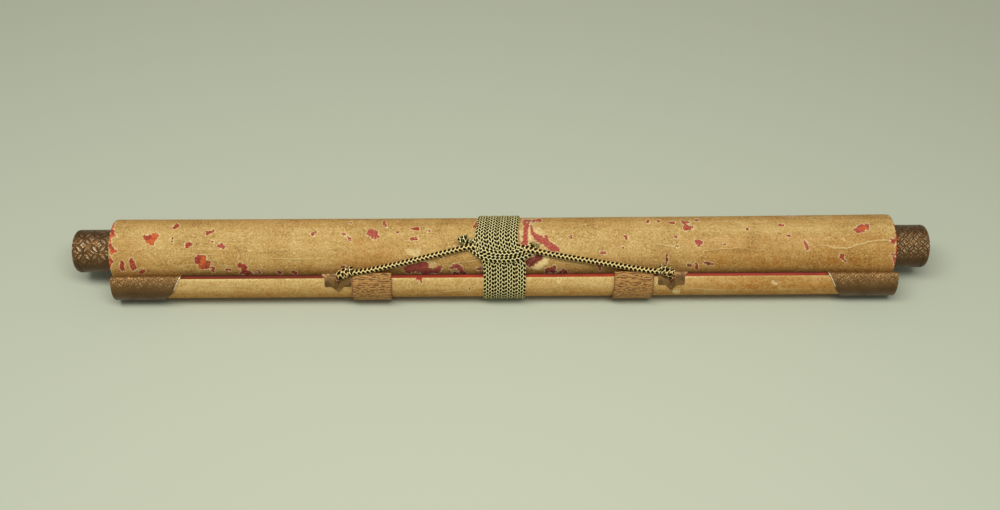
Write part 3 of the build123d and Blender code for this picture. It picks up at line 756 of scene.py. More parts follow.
# Worn spots in the photograph's pixels: where each stroke starts and ends, its half width, and what it bares
orangeRed = srgb(210, 104, 50)
brickRed = srgb(172, 68, 48)
salmon = srgb(184, 90, 74)
rose = srgb(164, 76, 66)
maroon = srgb(128, 54, 50)
bareCream = srgb(246, 222, 158)
paleTan = srgb(222, 194, 128)
flakedTan = srgb(238, 216, 150)
olive = srgb(168, 146, 88)
nailHole = srgb(52, 34, 20)
wornSpots = [
    (148, 240, 155, 236, 3.4, orangeRed), (146, 237, 149, 237, 2.2, brickRed),
    (152, 244, 153, 240, 2.3, orangeRed), (174, 227, 178, 225.5, 1.6, brickRed),
    (172, 238, 172.5, 239, 1.0, brickRed), (187, 245, 190, 244, 2.0, brickRed),
    (207, 233, 213, 231, 1.6, brickRed), (212, 240.5, 213, 241.5, 1.2, brickRed),
    (219, 245, 224, 247, 1.9, salmon), (199, 260, 206, 265, 4.6, brickRed),
    (205, 258, 200, 266, 2.3, orangeRed), (212, 268.5, 214, 270, 1.8, brickRed),
    (227, 269, 229, 270, 1.5, brickRed), (121.5, 264, 122.5, 269, 2.2, brickRed),
    (131, 260.5, 134, 268, 2.6, brickRed), (140.5, 271, 143.5, 271.5, 1.8, brickRed),
    (114.5, 221, 110.3, 235, 0.8, orangeRed), (110.3, 235, 109.8, 272, 1.0, orangeRed),
    (112, 236, 115.4, 235.5, 1.5, orangeRed), (111.5, 231, 112.5, 232, 1.8, brickRed),
    (111, 252, 115, 251, 2.0, orangeRed), (111, 246, 113, 248, 1.6, brickRed),
    (110.5, 259, 112, 262, 1.2, brickRed), (240, 265, 245, 268, 2.6, brickRed),
    (243, 270, 252, 274, 1.7, brickRed), (241, 273, 249, 274.5, 1.3, brickRed),
    (258, 271, 259.5, 272.5, 1.3, brickRed), (277.5, 272, 281, 273, 1.2, brickRed),
    (292.5, 272, 296, 273, 1.3, brickRed), (312, 235, 316, 232, 1.7, salmon),
    (342.5, 234.5, 345, 234.5, 1.3, salmon), (347.5, 236.5, 349.5, 239.5, 1.5, salmon),
    (350, 222.3, 351, 222.6, 1.0, salmon), (369.5, 233.5, 376, 233, 3.0, salmon),
    (374, 236.5, 378, 236, 1.8, salmon), (384.5, 222.5, 386, 226, 1.5, salmon),
    (342.5, 267, 345, 267, 1.6, brickRed), (412, 229, 418, 229, 1.6, brickRed),
    (396.8, 232.6, 397.2, 232.8, 0.8, brickRed), (427, 231, 429, 231, 1.2, brickRed),
    (412, 239.2, 417, 238.5, 1.7, brickRed), (408, 251.5, 413, 253, 1.9, flakedTan),
    (414, 253.5, 417, 256, 2.0, flakedTan), (417, 251, 418.5, 252, 1.4, flakedTan),
    (424, 262, 440, 268, 2.4, paleTan), (408, 269, 424, 266, 4.2, rose), (414, 267, 426, 272, 3.4, rose),
    (424, 270, 436, 271.5, 2.6, rose), (434, 271, 440, 268, 2.5, rose), (420, 264, 424, 265, 2.0, rose),
    (451.5, 268, 455, 265.5, 2.2, rose), (455, 265.5, 460, 268, 2.2, rose), (459, 268, 463, 272.5, 1.9, rose),
    (452, 273.5, 466, 273.6, 1.0, maroon), (477.5, 269, 483, 268.6, 1.7, rose),
    (475, 227.5, 477, 224.5, 1.8, brickRed), (477, 222, 478.5, 219, 1.2, brickRed),
    (418, 278.2, 421, 278.4, 1.9, brickRed), (420.5, 280, 421.4, 282, 1.3, brickRed),
    (524.5, 220.5, 534, 221, 1.1, rose), (534, 220.8, 540, 219.8, 1.5, salmon),
    (524, 222, 524.5, 224.5, 2.0, salmon), (527, 225.5, 525.2, 233, 2.6, salmon),
    (525.2, 233, 525.6, 240, 2.4, salmon), (526, 241, 524, 243.5, 2.7, salmon),
    (531, 226.5, 531.8, 232, 1.7, salmon), (532.6, 233, 536, 237, 2.5, salmon),
    (536, 236.5, 545, 242, 3.5, salmon), (535.2, 228.4, 534.8, 231, 0.6, bareCream),
    (535.5, 232, 539, 234.4, 0.6, bareCream), (539, 234.4, 542, 232.5, 0.6, bareCream),
    (540.5, 229.5, 538, 228.8, 0.5, bareCream), (521.4, 231, 521.2, 239, 0.6, bareCream),
    (441, 256.8, 442, 256.6, 1.4, maroon), (543, 241, 552, 247, 3.8, salmon),
    (550, 246, 556.5, 249.5, 2.9, salmon), (545.8, 236, 546.8, 239, 1.5, salmon),
    (529.2, 230, 530.6, 240, 1.0, bareCream), (533.5, 243.5, 537.5, 247.5, 2.6, olive),
    (528, 262.5, 538, 257.5, 3.4, maroon), (531, 264, 539, 258, 3.0, maroon),
    (536, 257, 541, 256, 1.6, maroon), (537.5, 266.5, 545, 261, 3.1, bareCream),
    (543.5, 262, 546.5, 258, 2.8, bareCream), (535.5, 267, 539.5, 267, 2.0, bareCream),
    (547.5, 270, 553, 269.5, 2.3, rose), (552, 267.5, 555, 267, 1.8, rose), (546, 272, 556, 272, 1.0, maroon),
    (560, 271.6, 566, 272.2, 1.5, rose), (562.5, 270.4, 563.5, 270.4, 1.6, rose),
    (558, 273, 567, 273, 0.9, maroon), (570, 237, 571.5, 237.3, 1.4, brickRed),
    (626, 235.5, 626, 237.5, 1.3, brickRed), (622, 246.6, 622.6, 247, 1.2, brickRed),
    (601.5, 252.8, 604.5, 252.8, 1.6, salmon), (599, 265, 599.8, 269, 1.7, rose),
    (597, 264.4, 602, 264.4, 1.5, rose), (647.5, 222, 649, 222.4, 1.0, brickRed),
    (657.5, 220.5, 659, 220.8, 1.0, brickRed), (670, 222.5, 674, 223, 1.2, brickRed),
    (682, 221.5, 686, 226, 1.3, salmon), (686, 226, 690.5, 228.5, 1.4, salmon),
    (686, 223, 689, 222, 1.0, salmon), (684.5, 227.5, 686, 229.5, 1.1, salmon),
    (696.5, 219.8, 698, 220, 1.0, salmon), (691.5, 227, 693, 227.3, 1.1, salmon),
    (676, 237, 677, 237.2, 1.2, salmon), (676.5, 246.5, 677.5, 247, 1.1, brickRed),
    (696.5, 241, 700.5, 242.5, 2.2, salmon), (698, 245, 699, 245.8, 1.4, salmon),
    (667, 255, 667.2, 263, 0.9, maroon), (688.5, 264.5, 690, 265, 1.3, maroon),
    (696, 264.5, 697, 267.5, 1.8, brickRed), (704.5, 263, 712, 264, 1.3, maroon),
    (746.5, 228.5, 748.5, 229, 1.2, brickRed), (779.5, 224.8, 783, 225.3, 1.2, salmon),
    (787.5, 235, 788.8, 235.4, 1.1, salmon), (805, 242, 807.5, 249, 1.4, salmon),
    (841, 256, 843, 257, 2.2, brickRed), (844.5, 260.5, 845.5, 261.8, 1.2, brickRed),
    (858.5, 229.5, 866, 227, 3.4, salmon), (862, 228.5, 865, 228, 1.8, orangeRed),
    (784, 214.8, 793, 214.8, 1.0, salmon), (723.5, 244, 724.5, 244, 0.9, salmon),
    (890, 215.5, 894, 222, 1.1, orangeRed), (894, 222, 896.5, 236, 1.2, orangeRed),
    (896.5, 236, 896.7, 250, 1.3, orangeRed), (896.7, 250, 895.2, 267, 1.1, brickRed),
    (891, 240, 895, 242, 1.6, brickRed), (893, 254, 895, 262, 1.6, salmon),
    (673.5, 291, 678.5, 292, 0.9, bareCream), (468.7, 289.3, 468.9, 289.4, 0.9, nailHole),
    (655.8, 283.1, 656.0, 283.2, 0.9, nailHole), (559, 281, 559.4, 281, 0.8, bareCream),
    (773, 281.5, 776, 284, 0.8, bareCream), (172, 240.8, 172.4, 241, 0.8, nailHole),
    (171.4, 238.2, 171.6, 238.4, 0.7, nailHole),
]


# Creases in the photograph's pixels, painted as a highlight along the raised line with painted shade in the dip
# below it, and how strong it is
creaseLines = [
    ((826, 245.6), (836, 248.0), 1.0), ((836, 248.0), (846, 248.2), 1.0), ((846, 248.2), (866, 242.3), 1.0),
    ((866, 242.3), (882, 239.8), 1.0), ((882, 239.8), (897, 240.7), 0.8), ((272, 258.4), (300, 258.9), 0.6),
    ((300, 258.9), (322, 258.2), 0.5), ((657, 244.0), (677, 247.0), 0.7), ((444, 292.0), (457, 290.0), 0.7),
    ((457, 290.0), (466, 290.4), 0.5), ((705, 250.5), (738, 247.5), 0.5), ((738, 247.5), (770, 251.0), 0.4),
    ((182, 256.5), (215, 254.0), 0.4), ((560, 262.5), (592, 266.0), 0.4), ((455, 262.5), (478, 260.5), 0.5),
    ((545, 253.5), (575, 262.0), 0.3), ((690, 288.0), (722, 290.5), 0.5), ((205, 287.5), (246, 286.5), 0.3),
]
wear = {
    "noTear": -4.0,          # mm, where no spot is near
    "noFold": 9.0,           # mm, where no crease is near
    "facing": 0.02,          # how far a point has to face the camera
    "wobble": 330,           # how finely the spots' outlines wander, in steps per metre
    "darkeningBand": [95, 112, 158, 175],     # degrees between which what is added along X counts
}


# Offset in pixels from the nearest point of a stroke
def offsetFrom(pixels, start, end):
    run = np.array(end) - np.array(start)
    along = np.clip(((pixels - start) @ run) / (run @ run), 0, 1)
    return pixels - start - along[:, None] * run


# Writes what each point is to the paper's material: how far it lies inside a tear, in mm, and the colour that the
# tear bares, how much it is darkened by painted shade and soiling, and how far it lies below a crease, in mm
def wearSurface(piece, part, centre, raggedness=1.0):
    mesh = piece.data
    count = len(mesh.vertices)
    points, facing = np.empty(count * 3), np.empty(count * 3)
    mesh.vertices.foreach_get("co", points)
    mesh.vertices.foreach_get("normal", facing)
    points, facing = points.reshape(-1, 3), facing.reshape(-1, 3)
    toCamera = np.array(shot.matrix_world.translation) - points
    toCamera /= np.linalg.norm(toCamera, axis=1)[:, None]
    front = (facing * toCamera).sum(axis=1) > wear["facing"]
    wobble = np.array([noise.noise_vector(Vector(point) * wear["wobble"]) for point in points])
    pixels = pixelsOf(points) + wobble[:, :2] * raggedness
    pixelSize = camera["distance"] / focalPixels
    field = np.full(count, wear["noTear"])
    tone = np.tile(np.array(brickRed), (count, 1))
    for x0, y0, x1, y1, reach, colour in wornSpots:
        away = np.linalg.norm(offsetFrom(pixels, (x0, y0), (x1, y1)), axis=1)
        inside = (reach - away) * pixelSize
        tone[(inside > field) | (inside > 0)] = colour
        field = np.maximum(field, inside)
    field[~front] = wear["noTear"]
    nearest = np.full(count, wear["noFold"])
    fold = np.full(count, wear["noFold"])
    for start, end, strength in creaseLines:
        offset = offsetFrom(pixels, start, end)
        away = np.linalg.norm(offset, axis=1) * pixelSize / strength
        nearer = (away < nearest) & front
        nearest[nearer] = away[nearer]
        fold[nearer] = (np.sign(offset[:, 1]) * away)[nearer]
    turned = np.arctan2(points[:, 2] - axisZ - centre[1] * mm, points[:, 1] - axisY - centre[0] * mm)
    turned = np.degrees(turned) % 360
    # painted shade and soiling by the angle round the piece, with more along X in a band; below zero it paints a
    # highlight
    darkening = np.interp(turned, part["darkeningAngle"], part["darkening"])
    middle = np.interp(turned, wear["darkeningBand"], [0.0, 1.0, 1.0, 0.0])
    darkening += np.interp(points[:, 0] / mm, part["darkeningX"], part["addedDarkening"]) * middle
    for name, values in (("wornField", field), ("darkening", darkening), ("fold", fold)):
        layer = mesh.attributes.new(name, "FLOAT", "POINT")
        layer.data.foreach_set("value", values.astype(np.float32))
    toneLayer = mesh.attributes.new("wornTone", "FLOAT_COLOR", "POINT")
    toneLayer.data.foreach_set("color", tone.astype(np.float32).ravel())


def makeOuterTurn():
    bm = newGrid(roll["lengthSteps"], roll["roundSteps"])
    length = roll["rightX"] - roll["leftX"]
    for vertex in bm.verts:
        x = roll["leftX"] + (vertex.co.x + 0.5) * length
        angle = 360 * vertex.co.y + roll["middleAngle"]
        fromEnd = min(x - roll["leftX"], roll["rightX"] - x)
        radius = rollRadius(x) - roll["rimRounding"] * max(0.0, 1 - fromEnd / roll["rimReach"]) ** 2
        radius += roll["unevenness"] * noise.noise(Vector((x / 45, *polar(angle, 1))))
        y, z = polar(angle, radius)
        vertex.co = fromAxis(x, y, max(z, roll["floor"] + 0.02))
    bmesh.ops.remove_doubles(bm, verts=bm.verts, dist=0.00005)
    rims = [edge for edge in bm.edges if edge.is_boundary]
    lips = bmesh.ops.extrude_edge_only(bm, edges=rims)["geom"]
    for vertex in [item for item in lips if isinstance(item, bmesh.types.BMVert)]:
        vertex.co.y = axisY + (vertex.co.y - axisY) * roll["lipShare"]
        vertex.co.z = axisZ + (vertex.co.z - axisZ) * roll["lipShare"]
    inner = [item for item in lips if isinstance(item, bmesh.types.BMEdge)]
    bmesh.ops.bridge_loops(bm, edges=inner)
    bmesh.ops.recalc_face_normals(bm, faces=bm.faces)
    piece = finishPiece(bm, "outerTurn", rollPaper, ["rolled_sheet"])
    wearSurface(piece, roll, (0.0, 0.0))


# The turns inside, seen at the two ends: one long strip wound up from the rod
def makeInnerTurns():
    turns = (roll["turnsRadius"] - roll["rodRadius"]) / roll["turnPitch"]
    bm = newGrid(1, int(turns * roll["stepsPerTurn"]))
    for vertex in bm.verts:
        wound = (vertex.co.y + 0.5) * turns
        radius = roll["rodRadius"] + 0.25 + wound * roll["turnPitch"]
        x = roll["leftX"] + roll["turnInset"] if vertex.co.x < 0 else roll["rightX"] - roll["turnInset"]
        x += roll["turnWander"] * noise.noise(Vector((wound * 0.8, vertex.co.x * 9, 3.7)))
        y, z = polar(-90 + 360 * wound, radius)
        vertex.co = fromAxis(x, y, max(z, roll["floor"] + 1.0))
    bmesh.ops.solidify(bm, geom=bm.faces, thickness=roll["turnThickness"] * mm)
    bmesh.ops.recalc_face_normals(bm, faces=bm.faces)
    finishPiece(bm, "innerTurns", turnEdges, ["rolled_sheet"])


# How far the cap reaches from its end, at a distance below the roll's axis as the camera sees it
def capReach(edge, drop):
    for (reach, low), (nextReach, nextLow) in zip(edge, edge[1:]):
        if drop <= nextLow:
            share = max(0.0, (drop - low) / (nextLow - low))
            return reach + (nextReach - reach) * share
    return edge[-1][0]


def stavePoint(angle, radius):
    return polar(angle, radius, stave["centre"])


# Point on the stave's flat side, a distance down from the corner
def flatSidePoint(radius, down):
    tilt = math.radians(stave["tilt"])
    cornerY, cornerZ = stavePoint(stave["cornerAngle"], radius)
    return cornerY + math.sin(tilt) * down, cornerZ - math.cos(tilt) * down


staveSheet = {
    "steps": (372, 44),
    "roundShare": 0.8,       # share of the sheet that goes round the stave, the rest runs back under the roll
    "runReach": 0.75,        # how far that run goes back to the roll's axis
    "underCaps": 0.6,        # mm that the sheet goes on under the caps
    "pocketShare": 0.62,     # share from which the sheet ends at fixed places, and those places in mm
    "pocketLeft": 30.4,
    "pocketRight": 34.9,
    "unevenness": 0.06,
    "thickness": 0.5,
}


# Paper glued round the stave, from the red facing's edge to the run under the roll
def makeStavePaper():
    bm = newGrid(*staveSheet["steps"])
    roundShare = staveSheet["roundShare"]
    for vertex in bm.verts:
        share = vertex.co.y + 0.5
        if share < roundShare:
            angle = stave["paperFrom"] + (270 - stave["paperFrom"]) * share / roundShare
            y, z = stavePoint(angle, stave["radius"] + 0.02)
        else:
            run = (share - roundShare) / (1 - roundShare) * staveSheet["runReach"]
            y, z = stave["centre"][0] * (1 - run), roll["floor"] + 0.02
        drop = -(y * math.sin(viewRise) + z * math.cos(viewRise))
        left = stave["leftX"] + capReach(stave["leftEdge"], drop) - staveSheet["underCaps"]
        right = stave["rightX"] - capReach(stave["rightEdge"], drop) + staveSheet["underCaps"]
        if share >= staveSheet["pocketShare"]:
            left, right = stave["leftX"] + staveSheet["pocketLeft"], stave["rightX"] - staveSheet["pocketRight"]
        x = left + (vertex.co.x + 0.5) * (right - left)
        lift = staveSheet["unevenness"] * noise.noise(Vector((x / 30, y / 8, z / 8)))
        vertex.co = fromAxis(x, y, z + lift)
    thicken(bm, staveSheet["thickness"])
    piece = finishPiece(bm, "stavePaper", stavePaper, ["rolled_sheet"])
    wearSurface(piece, stave, stave["centre"], 0.6)


facingSheet = {
    "leftInset": 49.2,       # mm from the stave's left end
    "insets": 98.0,          # both insets together
    "down": 12.0,            # mm down the stave's flat side
    "downShare": 0.4,        # share of the facing that lies there
    "sunk": 0.3,             # mm below the stave's own size
    "underPaper": 3,         # degrees that it goes on under the paper's edge
    "lightFrom": 0.62,       # share from which it is out of the shadow behind the stave
    "thickness": 0.25,
}


# Red silk over the stave's corner, under the paper's edge
def makeRedFacing():
    bm = newGrid(120, 24)
    shadow = bm.verts.layers.float.new("inShadow")
    radius = stave["radius"] - facingSheet["sunk"]
    turn = stave["paperFrom"] + facingSheet["underPaper"] - stave["cornerAngle"]
    length = stave["rightX"] - stave["leftX"] - facingSheet["insets"]
    downShare = facingSheet["downShare"]
    for vertex in bm.verts:
        share = vertex.co.y + 0.5
        if share < downShare:
            y, z = flatSidePoint(radius, (downShare - share) / downShare * facingSheet["down"])
        else:
            y, z = stavePoint(stave["cornerAngle"] + (share - downShare) / (1 - downShare) * turn, radius)
        vertex.co = fromAxis(stave["leftX"] + facingSheet["leftInset"] + (vertex.co.x + 0.5) * length, y, z)
        vertex[shadow] = float(np.interp(share, [downShare, facingSheet["lightFrom"]], [1.0, 0.0]))
    thicken(bm, facingSheet["thickness"])
    piece = finishPiece(bm, "redFacing", redSilk, ["rolled_sheet"])


# Woven strip from the stave's flat side over its corner and round to the underside
def makeSilkStrip(hand):
    bm = newGrid(44, 70)
    weave = bm.loops.layers.uv.new("weave")
    outer = stave["radius"] + strip["standsOut"]
    turn = strip["endAngle"] - stave["cornerAngle"]
    cutLength = math.radians(turn) * outer + strip["legLength"]
    leg = strip["legLength"] / cutLength
    for face in bm.faces:
        for loop in face.loops:
            loop[weave].uv = (loop.vert.co.x * strip["width"], (loop.vert.co.y + 0.5) * cutLength)
    for vertex in bm.verts:
        across, share = vertex.co.x, vertex.co.y + 0.5
        if share < leg:
            y, z = flatSidePoint(outer, (leg - share) / leg * strip["legLength"])
        else:
            y, z = stavePoint(stave["cornerAngle"] + (share - leg) / (1 - leg) * turn, outer)
        lowered = min(1.0, max(0.0, (share - 0.2) / 0.5))
        x = strip["places"][hand] + lowered * strip["lowerEndShift"]
        x += across * strip["width"] * (1 + strip["lowerFlare"] * lowered)
        x += strip["edgeWave"] * abs(across * 2) ** 6 * noise.noise(Vector((share * 22, across * 2, 1.5)))
        lift = strip["lift"] * noise.noise(Vector((x / 3, y / 2, z / 2)))
        vertex.co = fromAxis(x, y, max(z + lift, roll["floor"] - strip["underFloor"]))
    thicken(bm, strip["thickness"])
    piece = finishPiece(bm, f"{hand}SilkStrip", ribbedSilk, [f"{hand}_hanging_strip"])
    print(hand, "strip cut to", strip["width"], "by", round(cutLength, 1), "mm")


makeOuterTurn()
makeInnerTurns()
makeStavePaper()
makeRedFacing()
makeSilkStrip("left")
makeSilkStrip("right")
print("rolled sheet and strips made")


def makePath(name, controls):
    data = bpy.data.curves.new(name, "CURVE")
    data.dimensions = "3D"
    data.resolution_u = 6
    spline = data.splines.new("NURBS")
    spline.points.add(len(controls) - 1)
    for point, place in zip(spline.points, controls):
        point.co = (*place, 1)
    spline.order_u = 3
    spline.use_endpoint_u = True
    path = bpy.data.objects.new(name, data)
    bpy.context.scene.collection.objects.link(path)
    return path


# Evenly spaced points along a path
def pointsAlong(path, spacing):
    line = bpy.data.meshes.new_from_object(path)
    points = np.array([vertex.co for vertex in line.vertices])
    bpy.data.meshes.remove(line)
    bpy.data.objects.remove(path)
    steps = np.linalg.norm(np.diff(points, axis=0), axis=1)
    reach = np.concatenate([[0], np.cumsum(steps)])
    count = max(8, int(reach[-1] / (spacing * mm)))
    even = np.linspace(0, reach[-1], count + 1)
    return np.stack([np.interp(even, reach, points[:, axis]) for axis in range(3)], axis=1), reach[-1]


def stitchHeight(row, column):
    across = column % 1 - 0.5
    odd = math.floor(column) % 2
    phase = row + 0.5 * odd + (1 - 2 * odd) * across * braid["slant"]
    level = math.cos(2 * math.pi * phase) + (2 * across) ** 2 * braid["taper"]
    seam = max(0.0, (abs(2 * across) - braid["seamStart"]) / (1 - braid["seamStart"]))
    return min(1.0, max(0.0, level / braid["plateau"])) - braid["seamDepth"] * seam


# Closed band along the path of its control points. widthAt and thicknessAt give its size in mm at a share of its
# length, outward its upper side, boxy how square its section is. Half its columns of stitches are on each side
def sweepBraid(name, controls, widthAt, thicknessAt, outward, surface, replaces,
               columns=4, roundSteps=24, boxy=1.0):
    points, length = pointsAlong(makePath(f"{name}Path", controls), braid["rowLength"])
    rows = len(points) - 1
    ahead = np.gradient(points, axis=0)
    ahead /= np.linalg.norm(ahead, axis=1)[:, None]

    def ringPoint(vertex):
        share = vertex.co.y + 0.5
        turn = share * 2 * math.pi
        cos, sin = math.cos(turn), math.sin(turn)
        side = math.copysign(abs(cos) ** boxy, cos)
        up = math.copysign(abs(sin) ** boxy, sin)
        if boxy < 1:
            share = (1 - side) / 4 if vertex.co.y < 1e-6 else (3 + side) / 4
        return side, up, share * columns

    bm = newGrid(rows, roundSteps)
    stitches = bm.loops.layers.uv.new("stitches")
    rowScale = length / mm / braid["rowPitch"]
    for face in bm.faces:
        for loop in face.loops:
            loop[stitches].uv = ((loop.vert.co.x + 0.5) * rowScale, ringPoint(loop.vert)[2])
    for vertex in bm.verts:
        share = vertex.co.x + 0.5
        sideShare, upShare, column = ringPoint(vertex)
        index = min(rows, round(share * rows))
        centre = Vector(points[index])
        tangent = Vector(ahead[index])
        side = tangent.cross(outward(centre, share)).normalized()
        up = side.cross(tangent).normalized()
        raised = braid["bulge"] * (stitchHeight(share * rowScale, column % columns) - braid["sunk"])
        closing = min(1.0, braid["endSize"] + min(share, 1 - share) * rows / braid["endRows"])
        halfWidth = (widthAt(share) / 2 + raised) * closing
        halfThickness = (thicknessAt(share) / 2 + raised) * closing
        vertex.co = centre + (side * sideShare * halfWidth + up * upShare * halfThickness) * mm
    bmesh.ops.remove_doubles(bm, verts=bm.verts, dist=0.000002)
    bmesh.ops.holes_fill(bm, edges=[edge for edge in bm.edges if edge.is_boundary], sides=0)
    bmesh.ops.recalc_face_normals(bm, faces=bm.faces)
    print(name, round(length * 1000), "mm")
    return finishPiece(bm, name, surface, replaces), length, points


def radialFromRoll(centre, share=0.0):
    return Vector((0, centre.y - axisY, centre.z - axisZ)).normalized()


hanging = {
    "radius": 1.9,
    "seat": 24.0,            # from the roll's axis to the cord's middle
    "flatWidth": 5.6,
    "flatThickness": 2.2,
    "flatLift": 1.35,        # from the roll's surface to the flat stretch's middle
    "flatStops": (-15.0, -5.0, 5.0, 15.0),
    "flatReach": 19.0,
    "flatLeftDrop": -2.1,    # how far the flat stretch's ends lie below the roll's axis in the view
    "flatRightDrop": 0.6,
    "roundFrom": 24.0,       # mm from the middle at which the cord is round, and over which it flattens
    "flattening": 8.0,
    "leftRun": [(-108.5, 163.6, 3.2), (-105.0, 164.6, 3.1), (-94.1, 163.4, 1.7), (-82.3, 158.9, 0.3),
                (-68.4, 151.2, 0.0), (-54.8, 142.9, 0.0), (-41.6, 135.2, 0.0), (-30.9, 129.0, 0.3),
                (-23.5, 124.4, 1.0)],
    "rightRun": [(23.5, 131.0, 1.1), (30.4, 134.9, 0.4), (40.8, 140.0, 0.0), (53.6, 145.4, 0.0),
                 (67.8, 151.4, 0.0), (82.4, 157.9, 0.3), (96.2, 162.9, 1.7), (110.0, 165.4, 3.1),
                 (113.5, 164.0, 3.2)],
}


def makeHangingCord():
    flatRadius = roll["radius"] + hanging["flatLift"]
    controls = [fromAxis(x, *polar(angle, hanging["seat"] + lift)) for x, angle, lift in hanging["leftRun"]]
    for x in hanging["flatStops"]:
        share = (x + hanging["flatReach"]) / 2 / hanging["flatReach"]
        drop = hanging["flatLeftDrop"] + (hanging["flatRightDrop"] - hanging["flatLeftDrop"]) * share
        angle = 180 - camera["elevation"] + math.degrees(math.asin(drop / flatRadius))
        controls.append(fromAxis(x, *polar(angle, flatRadius)))
    controls += [fromAxis(x, *polar(angle, hanging["seat"] + lift)) for x, angle, lift in hanging["rightRun"]]
    startX, endX = hanging["leftRun"][0][0], hanging["rightRun"][-1][0]
    size = 2 * hanging["radius"]

    def flatness(share):
        x = abs(startX + (endX - startX) * share)
        return min(1.0, max(0.0, (hanging["roundFrom"] - x) / hanging["flattening"]))

    def widthAt(share):
        return size + (hanging["flatWidth"] - size) * flatness(share)

    def thicknessAt(share):
        return size + (hanging["flatThickness"] - size) * flatness(share)

    def outward(centre, share):
        flat = flatness(share)
        return (radialFromRoll(centre) * flat + towardsCamera * (1 - flat)).normalized()

    cord, length, line = sweepBraid("hangingCord", controls, widthAt, thicknessAt, outward, hangingBraid,
                                    ["hanging_cord"])


wrap = {
    "turns": 4,
    "width": 7.35,
    "narrowing": 0.35,       # mm by which a turn is narrower than its share of the band
    "thickness": 1.45,
    "clearance": 0.12,
    "rollPull": 0.9915,      # share of its control points' radius at which the cord runs round the roll
    "stavePull": 0.9864,
    "humpPush": 1.003,
    "humpRadius": 24.45,
    "humpAngles": (102, 114.5, 125, 136),
    "staveAngles": (140, 158, 177, 196, 215, 234, 252),
    "reachShares": (0.33, 0.67),
    "underStops": (-12.0, -4.0),
    "underFloor": 0.75,
    "firstStation": 4,       # the first turn starts under the roll, where it can't be seen
    "crossing": 0.34,        # share of a turn in which the cord moves on to the next one's place
    "leanAngle": [0, 37, 78, 95, 118, 136, 150, 178, 200, 230, 265, 360],
    "lean": [0.0, -1.1, -1.85, -3.0, -3.0, -0.5, 2.6, 2.6, 2.3, 1.8, 0.5, 0.0],
}


# One turn's middle line round the roll, over the hanging cord and round the stave, as points of its section
def turnStations():
    lift = wrap["clearance"] + wrap["thickness"] / 2
    rollOut = (roll["radius"] + lift) / wrap["rollPull"]
    humpOut = (wrap["humpRadius"] + lift) * wrap["humpPush"]
    staveOut = (stave["radius"] + lift) / wrap["stavePull"]
    stations = [(y, roll["floor"] - wrap["underFloor"]) for y in wrap["underStops"]]
    stations += [polar(angle, rollOut) for angle in range(-84, 90, 15)]
    stations += [polar(angle, humpOut) for angle in wrap["humpAngles"]]
    aroundStave = [stavePoint(angle, staveOut) for angle in wrap["staveAngles"]]
    (lastY, lastZ), (firstY, firstZ) = stations[-1], aroundStave[0]
    for share in wrap["reachShares"]:
        stations.append((lastY + (firstY - lastY) * share, lastZ + (firstZ - lastZ) * share))
    return stations + aroundStave


# How far the turns' middle lies along X at a direction round the roll
def leanOf(y, z):
    return float(np.interp(math.degrees(math.atan2(z, y)) % 360, wrap["leanAngle"], wrap["lean"]))


def makeWrapCord():
    stations = turnStations()
    controls = []
    for turn in range(wrap["turns"]):
        for index, (y, z) in enumerate(stations):
            if turn == 0 and index < wrap["firstStation"]:
                continue
            slide = min(1.0, index / (len(stations) * wrap["crossing"]))
            step = turn - 1 + slide if turn else 0
            x = (step - (wrap["turns"] - 1) / 2) * wrap["width"] + leanOf(y, z)
            controls.append(fromAxis(x, y, z))
    staveMiddle = fromAxis(0, *stave["centre"])

    def outward(centre, share):
        if centre.z - axisZ < (roll["floor"] + 0.2) * mm and centre.y < axisY + 3 * mm:
            return Vector((0, 0, -1))
        angle = math.degrees(math.atan2(centre.z - axisZ, centre.y - axisY)) % 360
        fromStave = Vector((0, centre.y - staveMiddle.y, centre.z - staveMiddle.z)).normalized()
        share = min(1.0, max(0.0, (angle - 135) / 40)) if angle < 300 else 0.0
        return (radialFromRoll(centre) * (1 - share) + fromStave * share).normalized()

    cord, length, line = sweepBraid("wrapCord", controls, lambda share: wrap["width"] - wrap["narrowing"],
                                    lambda share: wrap["thickness"], outward, wrapBraid,
                                    ["wrap_cord"], columns=8, roundSteps=40, boxy=0.72)


# Doubled end of the wrap cord, in the photograph's pixels with the height over the roll's surface in mm
wrapLoop = {
    "width": 4.4,
    "thickness": 1.5,
    "line": [
        (463, 244.0, 1.0), (467, 246.4, 0.9), (471.5, 249.0, 1.0), (476.5, 252.4, 2.4), (481.5, 255.6, 4.3),
        (487, 258.3, 5.0), (494, 259.2, 5.0), (502, 259.5, 5.0), (510, 259.4, 5.0), (517, 258.4, 4.8),
        (522.5, 256.9, 3.7), (527, 254.9, 1.6), (531, 252.4, 0.9), (533.5, 249.8, 0.9), (532.5, 247.4, 0.9),
        (529, 247.6, 0.9), (525.5, 249.6, 1.7), (521.5, 251.6, 4.0), (516, 253.2, 5.1), (509, 254.0, 5.1),
        (501, 254.0, 5.1), (494, 253.4, 5.1), (487.5, 251.8, 5.0), (482, 249.4, 4.2), (477, 246.4, 2.4),
        (472, 243.4, 1.2), (468, 241.2, 1.0)],
}


def makeWrapLoop():
    controls = [pointUnder(x, y, roll["radius"] + height) for x, y, height in wrapLoop["line"]]
    cord, length, line = sweepBraid("wrapLoop", controls, lambda share: wrapLoop["width"],
                                    lambda share: wrapLoop["thickness"], radialFromRoll, wrapBraid,
                                    ["wrap_cord_loop"], boxy=0.6)


